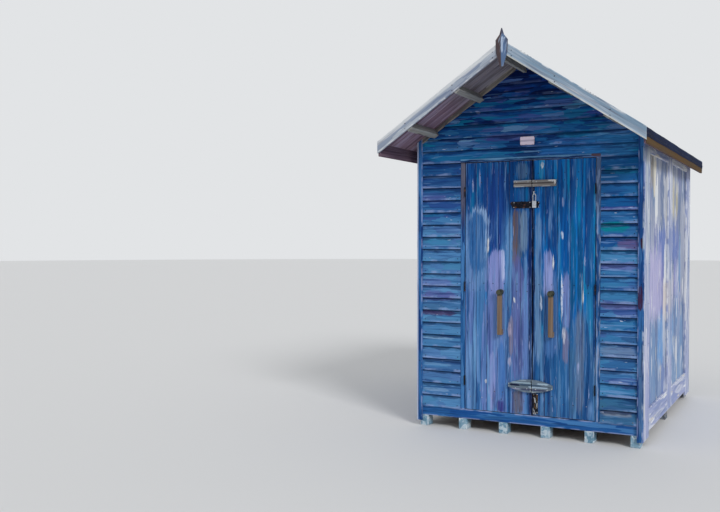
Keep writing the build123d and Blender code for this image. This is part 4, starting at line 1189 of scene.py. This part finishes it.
def cladding_nails():
    """Nails through the front and rear weatherboards, and through the corner boards."""
    chance = random.Random(41)
    places = []

    def nail(x, y, z, facing):
        places.append(((x + chance.uniform(-0.004, 0.004), y, z + chance.uniform(-0.003, 0.003)), facing))

    proud = WEATHER_NOSE * 0.80
    for side, corner, post in (("left", 0.055, 0.022), ("right", 0.022, 0.055)):
        low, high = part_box("front_wall_" + side)
        for i in range(round((high.z - low.z) / WEATHER_COVER)):
            for x in (low.x + corner, high.x - post):
                nail(x, FRONT_FACE - proud, low.z + i * WEATHER_COVER + NAIL_UP, AHEAD)
    for first, foot, y, facing in ((1, DOOR_HEAD, FRONT_FACE - proud, AHEAD),
                                   (0, WALL_FOOT, REAR_FACE + proud, BACK)):
        for i in range(first, ceil((SOFFIT_PEAK - foot) / WEATHER_COVER)):
            z = foot + i * WEATHER_COVER + NAIL_UP
            reach = min(SKIN - 0.055, (SOFFIT_PEAK - z) / SLOPE - 0.07)
            for x in (-0.82, -0.55, -0.273, 0.0, 0.273, 0.55, 0.82):
                if abs(x) < reach:
                    nail(x, y, z, facing)
    low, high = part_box("corner_boards")
    for x in (low.x + 0.022, high.x - 0.022):
        for z in spaced(0.20, 2.20, 7):
            nail(x, low.y, z, AHEAD)
            nail(x, high.y, z, BACK)
    set_fixings("cladding_nails", places, 0.0034, 0.0016, 42)


def side_nails():
    """Nails through the cover boards of the sides."""
    low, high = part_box("side_stiles")
    starts = (low.y, (low.y + high.y - STILE_WIDTH) / 2, high.y - STILE_WIDTH)
    places = [((out * high.x, y, z), (out, 0, 0)) for out in (-1, 1) for start in starts
              for y in (start + 0.035, start + STILE_WIDTH - 0.035) for z in spaced(0.16, 2.24, 8)]
    set_fixings("side_nails", places, 0.0036, 0.0014, 43)


def door_nails():
    """Nails through the door boards into the ledges."""
    for side, count in DOOR_BOARDS.items():
        low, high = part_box("door_" + side)
        cover = (high.x - low.x) / count
        chance = random.Random(44 + count)
        places = [((low.x + cover * (i + 0.5) + chance.uniform(-0.02, 0.02), low.y, z + up), AHEAD)
                  for z in LEDGES for i in range(count) for up in (-0.028, 0.028)]
        set_fixings("door_nails_" + side, places, 0.0036, 0.0014, 45, side + "_door")


def barge_nails():
    """Nails through the bargeboards into the ends of the purlins and the ridge board."""
    front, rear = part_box("front_bargeboards")[0].y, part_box("rear_bargeboards")[1].y
    places = [((out * x, y, ROOF_PEAK - x * SLOPE - drop), facing)
              for y, facing in ((front, AHEAD), (rear, BACK))
              for x in RIDGE_AND_PURLINS for out in (-1, 1) for drop in (0.026, BARGE_DROP - 0.026)]
    set_fixings("barge_nails", places, 0.0038, 0.0014, 46)


def felt_nails():
    """Clout nails along the edges and laps of the felt."""
    places = []
    top = ROOF_PEAK + (FELT + 0.0022) * 1.25
    for out in (-1, 1):
        normal = (out * sin(PITCH), 0, cos(PITCH))
        for y in spaced(FELT_LOW.y + 0.03, FELT_HIGH.y - 0.03, 40):
            places.append(((out * (FELT_HIGH.x + 0.0018), y, FELT_LOW.z + 0.022), (out, 0, 0)))
            for x in (LAP_TO - 0.020, RIDGE_FELT_REACH - 0.016):
                places.append(((out * x, y, top - x * SLOPE + LAP_RISE), normal))
        for y in (FELT_LOW.y + 0.036, FELT_HIGH.y - 0.036):
            for x in spaced(0.20, 0.98, 12):
                over = LAP_RISE if LAP_FROM < x < LAP_TO else 0.0
                places.append(((out * x, y, top - x * SLOPE + over - felt_dip(y)), normal))
    set_fixings("felt_nails", places, 0.0052, 0.0016, 47)


def floor_nails():
    """Nails through the floor boards into the joists."""
    low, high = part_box("floor")
    cover = (high.y - low.y) / FLOOR_BOARDS
    places = [((x * 0.985, low.y + cover * (i + 0.5) + aside, high.z), UP)
              for i in range(FLOOR_BOARDS) for x in JOISTS for aside in (-0.03, 0.03)]
    set_fixings("floor_nails", places, 0.0034, 0.0012, 48)


def plate_holes(node, left, right, up):
    """Places in from the ends of an iron plate, in two rows; an end with no inset has no screw."""
    low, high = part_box(node)
    columns = ([low.x + left] if left else []) + ([high.x - right] if right else [])
    return [(x, z) for x in columns for z in (low.z + up, high.z - up)]


def lock_screws():
    """Round-headed screws in the plates of the bolts, and coach nails in the bars."""
    bolt, keep = plate_holes("pad_bolt", 0.030, 0.012, 0.008), plate_holes("bolt_keep", None, 0.010, 0.008)
    drop = plate_holes("drop_bolt", 0.007, 0.007, 0.012)
    left_bars = [(-0.055, UPPER_BAR), (0.035, UPPER_BAR), (-0.060, LOWER_BAR), (0.030, LOWER_BAR)]
    right_bars = [(0.100, UPPER_BAR), (0.225, UPPER_BAR), (0.100, LOWER_BAR), (0.190, LOWER_BAR)]
    for side, groups, seed in (("left", ((bolt, 0.004), (left_bars, 0.024)), 49),
                               ("right", ((keep, 0.004), (drop, 0.003), (right_bars, 0.024)), 50)):
        places = [((x, FRONT_FACE - proud, z), AHEAD) for group, proud in groups for x, z in group]
        set_fixings("lock_screws_" + side, places, 0.0042, 0.0022, seed, side + "_door", "steel")


def rounded(left, right, foot, top, radius, inset):
    """Points round a rectangle with round corners, drawn in by an inset."""
    left, right, foot, top = left - inset, right + inset, foot - inset, top + inset
    points = []
    for cx, cz, start in ((right - radius, top - radius, 0), (left + radius, top - radius, 90),
                          (left + radius, foot + radius, 180), (right - radius, foot + radius, 270)):
        for degrees in (0, 22.5, 45, 67.5, 90):
            angle = radians(start + degrees)
            points.append((cx + radius * cos(angle), cz + radius * sin(angle)))
    return points


def number_plate():
    """A bare enamel plate with a rolled edge, held by two screws."""
    left, right, foot, top = PLATE_LIMITS
    middle = (foot + top) / 2
    face = FRONT_FACE - WEATHER_NOSE - 0.001
    bm = bmesh.new()
    edge = [(0.0, 0.0), (0.0, -0.0020), (-0.0012, -0.0030), (-0.0030, -0.0030), (-0.0042, -0.0018)]
    rings = skin(bm, [[(x, face + y, z) for x, z in rounded(*PLATE_LIMITS, 0.009, inset)]
                      for inset, y in edge])
    bm.faces.new(rings[0])
    close_fan(bm, rings[-1], ((left + right) / 2, face - 0.0026, middle))
    bmesh.ops.recalc_face_normals(bm, faces=bm.faces)
    place_piece("number_plate", mesh_of(bm, "number_plate"), "plate")
    places = [((x, face - 0.0022, middle), AHEAD) for x in (left + 0.012, right - 0.012)]
    set_fixings("plate_screws", places, 0.0036, 0.0020, 51, metal="steel")


for part in (weatherboards, side_boards, door_boards, floor_boards, soffit_boards, roof_covering,
             number_plate, cladding_nails, side_nails, door_nails, barge_nails, felt_nails, floor_nails,
             lock_screws):
    part()

# Floor, light and camera. The station point is the photograph's, with the view turned to the hut.
BACKDROP = linear((226, 228, 230))
STATION = (2.04, -7.51, 1.53)
VIEW_YAW = 28.0
VIEW_PITCH = -1.1
LENS = 43.5


def stage_floor():
    bm = bmesh.new()
    bmesh.ops.create_circle(bm, cap_ends=True, segments=96, radius=60.0)
    mesh = mesh_of(bm, "stage_floor")
    floor = linked("stage_floor", mesh)
    material = bpy.data.materials.new("stage_floor")
    material.use_nodes = True
    inputs = material.node_tree.nodes["Principled BSDF"].inputs
    inputs["Base Color"].default_value = linear((222, 222, 222))
    inputs["Roughness"].default_value = 0.95
    mesh.materials.append(material)


def stage_world():
    world = bpy.data.worlds.new("stage_world")
    bpy.context.scene.world = world
    world.use_nodes = True
    world.node_tree.nodes.clear()
    flow = Flow(world.node_tree)
    path = flow.add("ShaderNodeLightPath")
    seen = path.most(path.at("Is Glossy Ray")).most(path.at("Is Transmission Ray"))
    light = flow.add("ShaderNodeBackground", {"Color": (0.96, 0.98, 1.0, 1.0), "Strength": 0.62})
    pale = flow.add("ShaderNodeBackground", {"Color": BACKDROP, "Strength": 1.0})
    flow.end("ShaderNodeOutputWorld", flow.add("ShaderNodeMixShader", {0: seen, 1: light, 2: pale}))


def sun(name, direction, strength, degrees):
    lamp = bpy.data.lights.new(name, "SUN")
    lamp.energy = strength
    lamp.angle = radians(degrees)
    holder = linked(name, lamp)
    holder.rotation_mode = "QUATERNION"
    holder.rotation_quaternion = Vector(direction).to_track_quat("Z", "Y")


def camera():
    data = bpy.data.cameras.new("camera")
    data.lens = LENS
    data.sensor_width = 36.0
    holder = linked("camera", data)
    holder.location = STATION
    holder.rotation_euler = (radians(90 + VIEW_PITCH), 0.0, radians(VIEW_YAW))
    bpy.context.scene.camera = holder


stage_floor()
stage_world()
sun("key", (0.80, -0.62, 0.62), 1.55, 18)
camera()
bpy.context.scene.view_settings.view_transform = "Standard"
